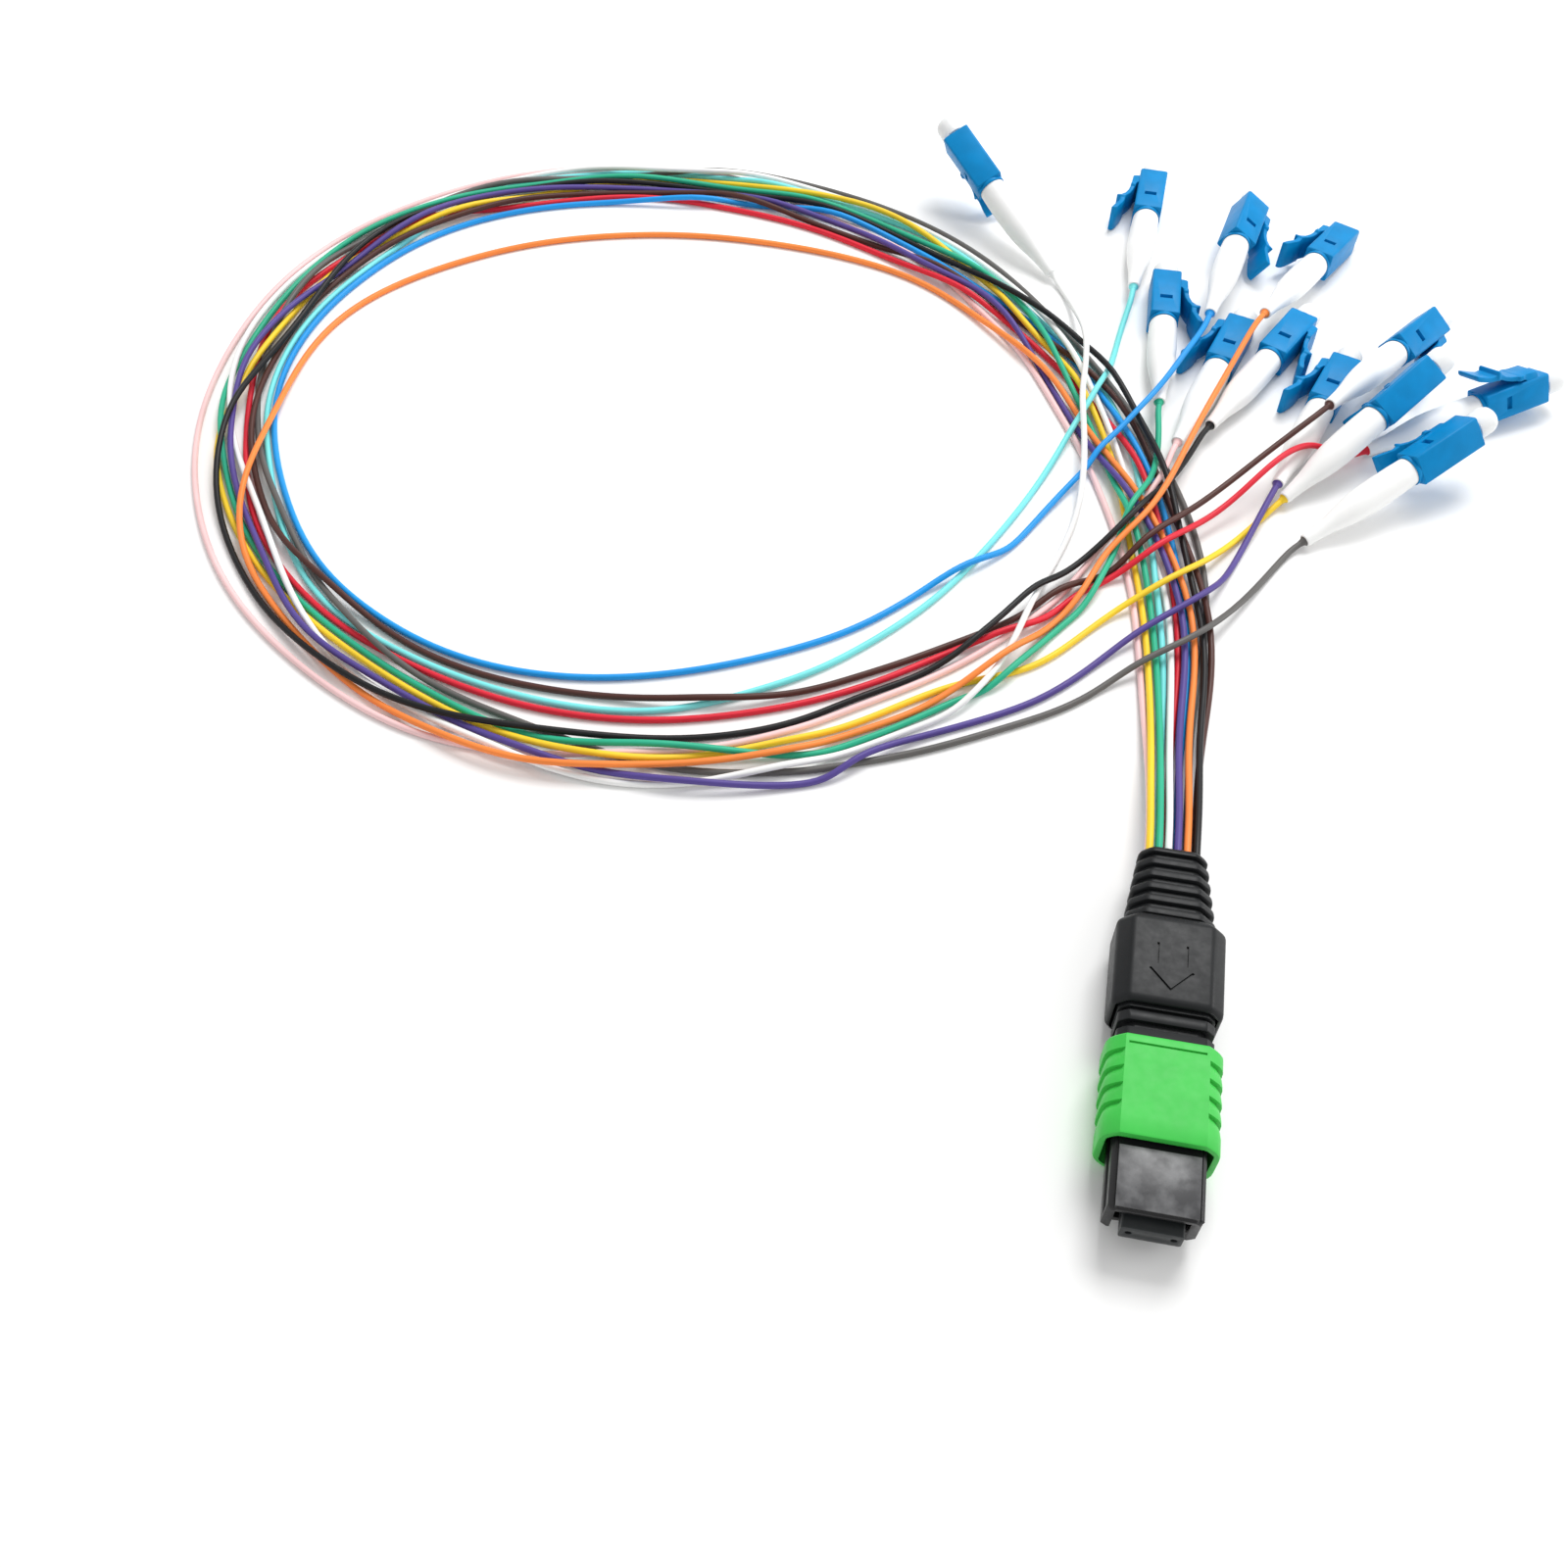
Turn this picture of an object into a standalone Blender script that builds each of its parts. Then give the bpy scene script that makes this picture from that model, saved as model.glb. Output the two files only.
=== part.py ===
"""Fibre breakout cable, lying on z = 0 with +Z up, in metres.

A multi-fibre trunk plug with a sliding grip, twelve coloured strands laid in one loop,
and a single-fibre connector with its boot and dust cap on the end of each strand.
"""

import math

import bmesh
import bpy
import numpy as np
from mathutils import Matrix, Vector

MM = 0.001

# Strands
STRAND_DIAMETER = 0.9 * MM
STRAND_GAP = 0.2 * MM
STRAND_ENTRY = 2.7 * MM
STRAND_BORE_CLEARANCE = 0.15 * MM

# Clearance between pieces that touch or slide on the real cable, and over the floor
FIT = 0.3 * MM
FLOOR_GAP = 0.02 * MM

# Single-fibre connector, front face to boot tip along its own axis
BODY_WIDTH = 4.5 * MM
BODY_LENGTH = 10.7 * MM
BODY_CHAMFER = 0.3 * MM
FRONT_BORE_DIAMETER = 2.8 * MM
FRONT_BORE_DEPTH = 2.6 * MM
WINDOW_LENGTH = 1.5 * MM
WINDOW_HEIGHT = 0.7 * MM
WINDOW_DEPTH = 0.5 * MM
WINDOW_FROM_REAR = 2.5 * MM
COLLAR_DIAMETER = 4.6 * MM
COLLAR_LENGTH = 1.2 * MM
COLLAR_SEAT = 0.5 * MM
COLLAR_EDGE = 0.1 * MM
SPIGOT_DIAMETER = 2.6 * MM
SPIGOT_LENGTH = 3.0 * MM
LATCH_WIDTH = 2.4 * MM
LATCH_THICKNESS = 0.65 * MM
LATCH_START = 1.2 * MM
LATCH_STEP = 1.1 * MM
LATCH_LENGTH = 12.2 * MM
LATCH_RISE = 3.6 * MM
LATCH_CURVE = 1.6
LATCH_STEPS = 5
LATCH_SLOPE = 0.25 * MM
LATCH_ROOT = 1.7 * MM
LUG_WIDTH = 4.4 * MM
LUG_RISE = 0.1 * MM
LUG_LENGTH = 1.0 * MM
LUG_POSITION = 5.4 * MM
THUMB_LENGTH = 2.0 * MM

# Connector boot
BOOT_DIAMETER = 4.2 * MM
BOOT_STRAIGHT_LENGTH = 8.0 * MM
BOOT_LENGTH = 17.4 * MM
BOOT_TIP_DIAMETER = 1.9 * MM
BOOT_EDGE = 0.35 * MM

# Dust cap
CAP_DIAMETER = 4.0 * MM
CAP_LENGTH = 3.5 * MM
CAP_SHANK_DIAMETER = 2.2 * MM
CAP_SHANK_LENGTH = 2.2 * MM
CAP_EDGE = 0.5 * MM

# Trunk plug, rear to front along its own axis
PLUG_AXIS_HEIGHT = 4.55 * MM
PLUG_BOOT_LENGTH = 22.4 * MM
PLUG_BOOT_WIDTH = 12.2 * MM
PLUG_BOOT_HEIGHT = 8.4 * MM
PLUG_BOOT_CHAMFER = 1.6 * MM
PLUG_BOOT_EDGE = 0.8 * MM
PLUG_BOOT_WALL = 0.55 * MM
PLUG_BOOT_SOCKET = 5.6 * MM
RIBBED_LENGTH = 11.2 * MM
RIB_COUNT = 6
RIB_GROOVE_SHARE = 0.45
RIB_DEPTH = 0.7 * MM
RIB_CHAMFER_SHARE = 0.28
RIBBED_REAR_WIDTH = 7.9 * MM
RIBBED_REAR_HEIGHT = 4.8 * MM
RIBBED_FRONT_WIDTH = 11.2 * MM
RIBBED_FRONT_HEIGHT = 7.4 * MM
SLOT_DEPTH = 4.0 * MM
SLOT_CLEARANCE = 0.25 * MM
SLOT_CHAMFER = 0.3 * MM
ARROW_DEPTH = 0.25 * MM
ARROW_LINE = 0.35 * MM
ARROW_WIDTH = 4.2 * MM
ARROW_LENGTH = 4.6 * MM
ARROW_FROM_FRONT = 1.6 * MM
ARROW_HEAD_SLOPE = 0.72
ARROW_HEAD_LINE = 0.6 * MM
ARROW_HEAD_GAP = 0.5 * MM
ARROW_LINE_SPREAD = 0.6
REAR_BODY_CHAMFER = 1.0 * MM
REAR_BODY_PLUG_LENGTH = 3.0 * MM
REAR_BODY_PLUG_INSET = 1.6 * MM
SLEEVE_SLIDE = 2.5 * MM
NECK_LENGTH = SLEEVE_SLIDE + 1.8 * MM
NECK_GROOVE_LENGTH = 1.0 * MM
NECK_GROOVE_DEPTH = 0.6 * MM
NECK_GROOVE_OFFSET = 0.4 * MM
SLEEVE_LENGTH = 11.9 * MM
SLEEVE_WIDTH = 12.6 * MM
SLEEVE_HEIGHT = 9.0 * MM
SLEEVE_SIDE_RADIUS = 3.0 * MM
SLEEVE_ROUND_STEPS = 4
SLEEVE_EDGE = 0.3 * MM
GRIP_COUNT = 4
GRIP_START = 2.6 * MM
GRIP_END = 1.2 * MM
GRIP_PITCH = 2.0 * MM
GRIP_WIDTH = 0.5 * MM
GRIP_DEPTH = 0.45 * MM
SLEEVE_LINE_WIDTH = 0.4 * MM
SLEEVE_LINE_DEPTH = 0.25 * MM
SLEEVE_LINE_START = 1.2 * MM
SLEEVE_LINE_OVER = 0.6 * MM
HOUSING_WIDTH = 9.7 * MM
HOUSING_HEIGHT = 6.2 * MM
HOUSING_FRONT = 46.3 * MM
HOUSING_IN_SLEEVE = 4.5 * MM
HOUSING_CHAMFER = 0.7 * MM
HOUSING_EDGE = 0.5 * MM
KEY_WIDTH = 7.6 * MM
KEY_HEIGHT = 0.25 * MM
KEY_START = 1.0 * MM
KEY_END = 1.3 * MM
KEY_SEAT = 0.5 * MM
RAIL_HEIGHT = 1.6 * MM
RAIL_DEPTH = 0.8 * MM
RAIL_END = 1.5 * MM
FERRULE_WIDTH = 6.4 * MM
FERRULE_HEIGHT = 2.5 * MM
FERRULE_LENGTH = 8.3 * MM
FERRULE_CHAMFER = 0.2 * MM
FERRULE_PROTRUSION = 1.0 * MM
GUIDE_HOLE_DIAMETER = 0.7 * MM
GUIDE_HOLE_PITCH = 4.6 * MM
GUIDE_HOLE_DEPTH = 2.0 * MM

# Facets of round pieces, the sharpest bend that is shaded smooth, and how far cutters overrun
ROUND_SIDES = 12
BORE_SIDES = 10
EDGE_ANGLE = 35.0
OVERRUN = 1.0 * MM

# The plan below is drawn in millimetres, and this point of it is the model's origin
PLAN_CENTRE = Vector((74.23, 160.94))

# Trunk plug on the plan: middle of its rear end, and the way that its front points
PLUG_REAR = (48.3, 112.2)
PLUG_HEADING = -100.9

# Connectors on the plan: boot tip x and y, lift of the tip above a connector lying on its side,
# heading of the front, pitch up towards the front and roll of the latch to the left
CONNECTORS = {
    "white": (46.7, 228.6, -1.1, 121.0, 17.5, -155.0),
    "aqua": (59.0, 223.7, 0.0, 76.3, 0.0, 90.0),
    "blue": (68.8, 213.1, 3.0, 68.2, 0.0, -122.0),
    "orange": (77.2, 213.0, 3.1, 53.0, -5.9, 90.0),
    "green": (59.1, 196.0, 0.0, 80.0, 0.0, -90.0),
    "rose": (60.5, 187.2, 0.0, 62.5, 0.0, 90.0),
    "black": (65.9, 190.9, 0.0, 52.6, 0.0, -90.0),
    "violet": (73.5, 178.4, 0.0, 60.0, 0.0, 90.0),
    "brown": (82.1, 190.1, 4.5, 45.8, -4.2, -122.0),
    "yellow": (74.3, 176.5, -1.0, 38.3, 16.8, 150.0),
    "red": (88.3, 186.6, -0.97, 22.5, 5.4, 25.0),
    "slate": (75.6, 168.1, -1.1, 31.2, 14.0, 125.0),
}

# Strand colours in the order that the strands lie on each other, lowest first
STRAND_COLOURS = {
    "rose": (0.90, 0.62, 0.62),
    "aqua": (0.22, 0.80, 0.76),
    "red": (0.66, 0.025, 0.045),
    "blue": (0.02, 0.27, 0.70),
    "slate": (0.16, 0.15, 0.145),
    "brown": (0.105, 0.045, 0.035),
    "yellow": (0.95, 0.62, 0.045),
    "green": (0.03, 0.45, 0.27),
    "white": (0.90, 0.90, 0.89),
    "violet": (0.12, 0.085, 0.30),
    "orange": (0.90, 0.24, 0.045),
    "black": (0.012, 0.011, 0.012),
}

# Lanes of the strands in the trunk plug's boot, from its left side to its right
LOWER_LANES = ("rose", "aqua", "red", "blue", "slate", "brown")
UPPER_LANES = ("yellow", "green", "white", "violet", "orange", "black")

# The way out of the trunk plug: distance behind its rear end and height of the lower lanes
TRUNK_EXIT = ((12.0, 2.6), (24.0, 0.7))
TRUNK_SPREAD = 1.1
STRAIGHT_END = 4.0 * MM

# Radius of each strand from the loop's middle, at stations one step apart round the loop
LOOP_CENTRE = (-12.0, 193.0)
LOOP_START = -30
LOOP_STEP = 15
LOOP_RADII = {
    "yellow": (73.6, 65, 61.3, 59.3, 57.1, 58.9, 61.2, 59.5, 61.8, 62.9, 63.8, 66.2, 68, 66.4,
               66.3, 64.9, 64.1, 62.7, 62.8, 62.5, 63.2, 61.4),
    "rose": (73.6, 63, 57.4, 55.2, 55.1, 55, 55.9, 59.8, 63.8, 68.3, 71.3, 73.4, 74, 72.6, 71.8,
             70.4, 69.5, 67.7, 65.3, 63.9, 62.3, 59.9),
    "green": (75.1, 65.5, 60.4, 59, 58.2, 58.2, 59.3, 57.9, 60.9, 65.3, 66.3, 68.6, 70.5, 69.1,
              66.3, 64.4, 62.1, 60.2, 60.3, 62.3, 63.1, 63.9),
    "aqua": (75.6, 67.5, 63.9, 60.7, 59.6, 59.5, 59.9, 59.7, 62.6, 65.8, 66.8, 66.4, 66, 64.1,
             62.8, 60.9, 59.6, 58.2, 56.8, 55.4, 54.4, 52.4),
    "white": (76.6, 67, 62.7, 61, 60.2, 61, 61.4, 61.9, 61.4, 66.2, 70.3, 71.9, 72.5, 68.3, 65.3,
              62.3, 61.8, 63.1, 63.4, 65.3, 65.9, 66.2),
    "red": (77.6, 69, 61.2, 58.2, 55.4, 54.2, 53.4, 55.8, 58.3, 60.8, 63.7, 66.9, 69.5, 67.6, 65.3,
            62.9, 60.6, 59.7, 58.3, 56.9, 56.4, 55.9),
    "violet": (78.3, 67, 58.8, 56.7, 56.1, 53.7, 54.8, 55.7, 59.6, 61.9, 64.2, 66.1, 67.4, 67.5,
               65.2, 63.8, 62.6, 63, 62.6, 64.1, 65.7, 67.2),
    "blue": (78.6, 70, 63, 60.7, 58.6, 57.5, 55.2, 57.7, 57.2, 58.6, 61.8, 64.4, 64.5, 63.2, 61.8,
             60.4, 59.1, 55.7, 53.3, 50.9, 48.4, 46.9),
    "orange": (79.3, 68.5, 61.1, 56.1, 53, 50.5, 47.9, 46.4, 46.8, 48.3, 51.4, 54.9, 59.5, 61.6,
               62.3, 63.2, 64.2, 64.7, 64.7, 64.6, 64.5, 63.9),
    "slate": (80.6, 73.5, 67.3, 64.2, 62.1, 62, 63.4, 63.7, 62.4, 63.4, 67.3, 70.4, 69.8, 66.9,
              63.8, 59.8, 58.6, 58.7, 58.9, 60.3, 63.9, 66.8),
    "brown": (81.2, 71.5, 65.3, 60.1, 56.6, 54.3, 53.9, 55.4, 58.3, 61.8, 64.2, 65.8, 68, 65.6,
              63.4, 61.4, 59.8, 57.3, 54.8, 53.4, 53.6, 53.7),
    "black": (81.7, 71.9, 65.2, 61.1, 57.4, 57.4, 57.3, 57.8, 60.4, 61.7, 64.9, 66.9, 66.2, 65.7,
              65.6, 65.3, 65.1, 64.1, 64.5, 63.5, 60.4, 58.9),
}

# Legs from the loop to the connectors: x, y and the least height, where the leg is held up
LEGS = {
    "blue": ((10.5, 151.1, 0), (18.9, 156.6, 0), (24.8, 159.9, 0), (32.3, 166.5, 0),
             (35.9, 169, 0), (43, 178, 1), (48.4, 184, 1.5), (52.2, 188.3, 2.2), (59, 197, 4.4),
             (63.5, 203.5, 5.8)),
    "aqua": ((8, 145.1, 0), (16, 151.1, 0), (24.9, 159.6, 0), (33.4, 170, 0), (38.4, 178, 0),
             (45.7, 189.4, 0), (48.7, 195.9, 0), (52.6, 205.4, 0), (56.3, 215.7, 0)),
    "brown": ((13, 144.1, 0), (20.9, 147.1, 0), (28.4, 150.1, 0), (35.9, 154.4, 0),
              (42.2, 158.7, 0), (50.2, 163.9, 0), (56.7, 169.7, 2.5), (64, 175.4, 3.5),
              (72.9, 182.9, 5)),
    "red": ((10.5, 141.1, 0), (17.9, 144.1, 0), (26.4, 147.6, 0), (36.2, 152.7, 0),
            (41.4, 157.6, 0), (46.8, 161.4, 0), (52.8, 163.7, 0), (58.9, 169.4, 0),
            (68, 175.7, 3.7), (74.2, 181.3, 5.9), (79.8, 185.4, 4.2)),
    "black": ((10, 139.1, 0), (17.9, 143.1, 0), (28.2, 149, 0), (35.5, 154.3, 0), (40.6, 159.8, 0),
              (47.2, 166.3, 0), (54.5, 175.7, 0)),
    "rose": ((10, 137.6, 0), (17.9, 141.6, 0), (28.9, 148.1, 0), (38.9, 156.6, 0),
             (45.8, 162.8, 0), (52.6, 171.8, 0)),
    "orange": ((10, 133.1, 0), (20.4, 138.1, 0), (29.6, 145, 0), (36.2, 151.6, 0),
               (40.2, 156.8, 0), (46.9, 163.5, 0), (52.2, 170.6, 2.5), (60.5, 184, 4.5),
               (68.5, 197.5, 5.4)),
    "yellow": ((10, 135.1, 0), (20.4, 139.6, 0), (29.9, 144.1, 0), (36.9, 147.1, 0),
               (45.9, 153.5, 0), (51.9, 156.7, 0), (58.6, 161.6, 0)),
    "green": ((10, 132.1, 0), (17.9, 135.6, 0), (25.9, 139.6, 0), (29.3, 142.1, 0),
              (36.8, 148.7, 0), (40.9, 153.6, 0), (44.2, 157.4, 0), (49.1, 165.7, 0),
              (52, 172.1, 0), (54.6, 178.1, 0)),
    "white": ((10, 130.6, 0), (20.4, 136.1, 0), (25.8, 139, 0), (32.2, 146.5, 0), (38.2, 157.6, 0),
              (43.4, 169.5, 0), (46.8, 181.5, 0), (48.3, 189.7, 0), (48.4, 197.6, 0),
              (47.5, 205.6, 0)),
    "violet": ((9.9, 128.3, 0), (17.5, 132.1, 0), (29.9, 137.1, 0), (37.4, 140.6, 0),
               (45.3, 147, 0), (52.8, 152, 0), (59.1, 156.6, 0), (65.4, 164.6, 0)),
    "slate": ((10, 128.6, 0), (19.9, 131.6, 0), (29.4, 134.6, 0), (37.4, 137.6, 0),
              (44.3, 141.5, 0), (51.8, 145.4, 0), (58.3, 150.2, 0)),
}

# How the strands settle: what is held at both ends, over what length and from where (in
# millimetres right of the loop's middle) a leg is lifted at first, and the steps
HELD_END = 5.0 * MM
LIFT_LENGTH = 30.0 * MM
LIFT_START = 20.0
LAYER = 0.7 * MM
SINK_STEP = 0.15 * MM
LAST_SINK_STEP = 0.05 * MM
LEVELLING = 0.3
LEVELLED_FROM = 30.0 * MM
STIFFNESS = 0.05
STACKING = (0.4, 0.4, 1.0)
CONTACT_SHARING = 0.6
SINKING_ROUNDS = 140
SETTLING_ROUNDS = 280
RESTING_ROUNDS = 40
TUBE_ROUNDS = 150
PUSHES_A_ROUND = 3
SEARCH_EVERY = 10
SEARCH_BLOCK = 200
SEARCH_MARGIN = 1.5 * MM
NEIGHBOURS = 12

# Steps in each span of a route, and how many of them one straight run of the tube takes
SPAN_STEPS = 4
TUBE_STEPS = 3

PLASTIC_COLOURS = {
    "connector_blue": ((0.010, 0.215, 0.525), 0.38),
    "boot_white": ((0.86, 0.86, 0.85), 0.45),
    "cap_clear": ((0.82, 0.84, 0.84), 0.30),
    "sleeve_green": ((0.06, 0.62, 0.10), 0.42),
    "plug_black": ((0.028, 0.028, 0.030), 0.48),
    "ferrule_grey": ((0.075, 0.078, 0.082), 0.35),
}


def material(name, colour, roughness):
    """A plain plastic."""
    made = bpy.data.materials.new(name)
    made.use_nodes = True
    shader = made.node_tree.nodes["Principled BSDF"]
    shader.inputs["Base Color"].default_value = (*colour, 1.0)
    shader.inputs["Roughness"].default_value = roughness
    shader.inputs["Metallic"].default_value = 0.0
    return made


def add_mesh(name, shape):
    """A new object from a bmesh, which is used up."""
    bmesh.ops.recalc_face_normals(shape, faces=shape.faces)
    mesh = bpy.data.meshes.new(name)
    shape.to_mesh(mesh)
    shape.free()
    made = bpy.data.objects.new(name, mesh)
    bpy.context.collection.objects.link(made)
    return made


def prism(name, outline, start, end):
    """A closed outline in X and Z, pushed along Y from start to end."""
    shape = bmesh.new()
    face = shape.faces.new([shape.verts.new((x, start, z)) for x, z in outline])
    pushed = bmesh.ops.extrude_face_region(shape, geom=[face])
    moved = [item for item in pushed["geom"] if isinstance(item, bmesh.types.BMVert)]
    bmesh.ops.translate(shape, verts=moved, vec=(0.0, end - start, 0.0))
    return add_mesh(name, shape)


def side_prism(name, outline, width):
    """A closed outline in Y and Z, as wide as width along X and centred on it."""
    shape = bmesh.new()
    face = shape.faces.new([shape.verts.new((-width / 2, y, z)) for y, z in outline])
    pushed = bmesh.ops.extrude_face_region(shape, geom=[face])
    moved = [item for item in pushed["geom"] if isinstance(item, bmesh.types.BMVert)]
    bmesh.ops.translate(shape, verts=moved, vec=(width, 0.0, 0.0))
    return add_mesh(name, shape)


def box(name, low, high):
    """A plain box between two corners."""
    outline = ((low[0], low[2]), (high[0], low[2]), (high[0], high[2]), (low[0], high[2]))
    return prism(name, outline, low[1], high[1])


def chamfered(width, height, cut):
    """A rectangle with its four corners cut off."""
    across = width / 2
    up = height / 2
    return ((across, -up + cut), (across, up - cut), (across - cut, up), (-across + cut, up),
            (-across, up - cut), (-across, -up + cut), (-across + cut, -up), (across - cut, -up))


def rounded(width, height, radius, steps):
    """A rectangle with round corners of so many steps."""
    points = []
    for quarter in range(4):
        side_x = 1 if quarter in (0, 3) else -1
        side_z = 1 if quarter in (0, 1) else -1
        for step in range(steps + 1):
            angle = math.radians(90) * (quarter + step / steps)
            points.append((side_x * (width / 2 - radius) + radius * math.cos(angle),
                           side_z * (height / 2 - radius) + radius * math.sin(angle)))
    return points


def loft(name, sections):
    """A closed body through outlines in X and Z that have as many points each: (y, outline)."""
    shape = bmesh.new()
    rings = []
    for y, outline in sections:
        rings.append([shape.verts.new((x, y, z)) for x, z in outline])
    for before, after in zip(rings, rings[1:]):
        for index in range(len(before)):
            following = (index + 1) % len(before)
            shape.faces.new((before[index], before[following], after[following], after[index]))
    shape.faces.new(rings[0])
    shape.faces.new(rings[-1])
    return add_mesh(name, shape)


def turned(name, profile, sides):
    """A body turned about Y from a profile of (y, radius) that starts and ends on the axis."""
    shape = bmesh.new()
    verts = [shape.verts.new((radius, y, 0.0)) for y, radius in profile]
    edges = [shape.edges.new(pair) for pair in zip(verts, verts[1:])]
    bmesh.ops.spin(shape, geom=verts + edges, cent=(0, 0, 0), axis=(0, 1, 0),
                   angle=math.tau, steps=sides, use_merge=True)
    bmesh.ops.remove_doubles(shape, verts=shape.verts, dist=0.001 * MM)
    return add_mesh(name, shape)


def cut_or_join(target, others, operation):
    """Boolean the others with the target and keep only the result, as the target's own mesh."""
    for other in others:
        modifier = target.modifiers.new(other.name, "BOOLEAN")
        modifier.operation = operation
        modifier.object = other
        modifier.solver = "EXACT"
    evaluated = target.evaluated_get(bpy.context.evaluated_depsgraph_get())
    result = bpy.data.meshes.new_from_object(evaluated)
    target.modifiers.clear()
    target.data = result
    for other in others:
        bpy.data.objects.remove(other)
    return target


def shade(target, finish):
    """Give a piece its material, and shade it smooth except at its real edges."""
    target.data.materials.clear()
    target.data.materials.append(finish)
    target.data.shade_smooth()
    target.data.set_sharp_from_angle(angle=math.radians(EDGE_ANGLE))
    return target


def pose(x, y, z, heading, pitch=0.0, roll=0.0):
    """The place of a piece whose own +Y is its front, on the plan in millimetres."""
    turn = Matrix.Rotation(math.radians(heading - 90.0), 4, "Z")
    turn = turn @ Matrix.Rotation(math.radians(pitch), 4, "X")
    turn = turn @ Matrix.Rotation(math.radians(-roll), 4, "Y")
    place = Matrix.Translation(((x - PLAN_CENTRE.x) * MM, (y - PLAN_CENTRE.y) * MM, z))
    return place @ turn


# Single-fibre connector. Its front face is at y = 0 and its boot tip at -connector_length()

def collar_rear():
    return -BODY_LENGTH - COLLAR_LENGTH


def boot_front():
    return collar_rear() - FIT


def connector_length():
    return BOOT_LENGTH - boot_front()


def lying_height():
    """Height of the axis of a connector that lies on its side."""
    return max(BODY_WIDTH, COLLAR_DIAMETER, LUG_WIDTH) / 2 + FLOOR_GAP


def latch_height(back):
    """Height of the latch arm's outer face over the body, at a distance behind its start."""
    share = back / LATCH_LENGTH
    return LATCH_STEP + (LATCH_RISE - LATCH_STEP) * share ** LATCH_CURVE


def latch_arm(top):
    """The latch: a step near the front face, and an arm that curves up towards the rear."""
    outer = [(-LATCH_START, top - FIT), (-LATCH_START - LATCH_SLOPE, top + latch_height(0.0))]
    inner = []
    for step in range(1, LATCH_STEPS + 1):
        back = LATCH_LENGTH * step / LATCH_STEPS
        outer.append((-LATCH_START - back, top + latch_height(back)))
        inner.append((-LATCH_START - back, top + latch_height(back) - LATCH_THICKNESS))
    inner = inner[::-1] + [(-LATCH_START - LATCH_ROOT, top - FIT)]
    return side_prism("latch_arm", outer + inner, LATCH_WIDTH)


def latch_bar(name, top, position, length):
    """A bar across the latch arm, at a distance behind the latch's start."""
    front = position
    rear = position + length
    outline = ((-LATCH_START - front, top + latch_height(front) - LATCH_THICKNESS),
               (-LATCH_START - front, top + latch_height(front) + LUG_RISE),
               (-LATCH_START - rear, top + latch_height(rear) + LUG_RISE),
               (-LATCH_START - rear, top + latch_height(rear) - LATCH_THICKNESS))
    return side_prism(name, outline, LUG_WIDTH)


def connector_housing_mesh():
    """Square body with its front bore, side windows, collar, rear spigot and latch in one piece."""
    half = BODY_WIDTH / 2
    body = prism("body", chamfered(BODY_WIDTH, BODY_WIDTH, BODY_CHAMFER), -BODY_LENGTH, 0.0)
    collar_start = -BODY_LENGTH + COLLAR_SEAT
    spigot_end = collar_rear() - SPIGOT_LENGTH
    collar = turned("collar", ((collar_start, 0.0), (collar_start, half - COLLAR_EDGE),
                               (-BODY_LENGTH - 2 * COLLAR_EDGE, COLLAR_DIAMETER / 2),
                               (collar_rear(), COLLAR_DIAMETER / 2),
                               (collar_rear(), SPIGOT_DIAMETER / 2),
                               (spigot_end, SPIGOT_DIAMETER / 2), (spigot_end, 0.0)), ROUND_SIDES)
    thumb_start = LATCH_LENGTH - THUMB_LENGTH
    joined = [collar, latch_arm(half), latch_bar("lugs", half, LUG_POSITION, LUG_LENGTH),
              latch_bar("thumb", half, thumb_start, THUMB_LENGTH)]
    cut_or_join(body, joined, "UNION")
    bore_radius = FRONT_BORE_DIAMETER / 2
    cuts = [turned("bore", ((-FRONT_BORE_DEPTH, 0.0), (-FRONT_BORE_DEPTH, bore_radius),
                            (OVERRUN, bore_radius), (OVERRUN, 0.0)), BORE_SIDES)]
    window_rear = -BODY_LENGTH + WINDOW_FROM_REAR
    for side in (-1, 1):
        edges = sorted((side * (half - WINDOW_DEPTH), side * (half + OVERRUN)))
        cuts.append(box(f"window_{side}", (edges[0], window_rear, -WINDOW_HEIGHT / 2),
                        (edges[1], window_rear + WINDOW_LENGTH, WINDOW_HEIGHT / 2)))
    cut_or_join(body, cuts, "DIFFERENCE")
    mesh = body.data
    bpy.data.objects.remove(body)
    return mesh


def connector_boot_mesh():
    """Round boot that slips over the housing's spigot and tapers to the strand."""
    front = boot_front()
    rear = -connector_length()
    outer = BOOT_DIAMETER / 2
    tip = BOOT_TIP_DIAMETER / 2
    shoulder = front - BOOT_STRAIGHT_LENGTH
    taper = shoulder - rear
    front_bore = SPIGOT_DIAMETER / 2 + FIT
    front_depth = collar_rear() - SPIGOT_LENGTH - FIT
    tip_bore = STRAND_DIAMETER / 2 + STRAND_BORE_CLEARANCE
    tip_depth = rear + STRAND_ENTRY + FIT
    profile = ((front_depth, 0.0), (front_depth, front_bore), (front, front_bore),
               (front, outer - BOOT_EDGE), (front - BOOT_EDGE, outer), (shoulder, outer),
               (shoulder - 0.3 * taper, outer - 0.24 * (outer - tip)),
               (shoulder - 0.75 * taper, tip + 0.22 * (outer - tip)),
               (rear, tip), (rear, tip_bore), (tip_depth, tip_bore), (tip_depth, 0.0))
    boot = turned("boot", profile, ROUND_SIDES)
    mesh = boot.data
    bpy.data.objects.remove(boot)
    return mesh


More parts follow.
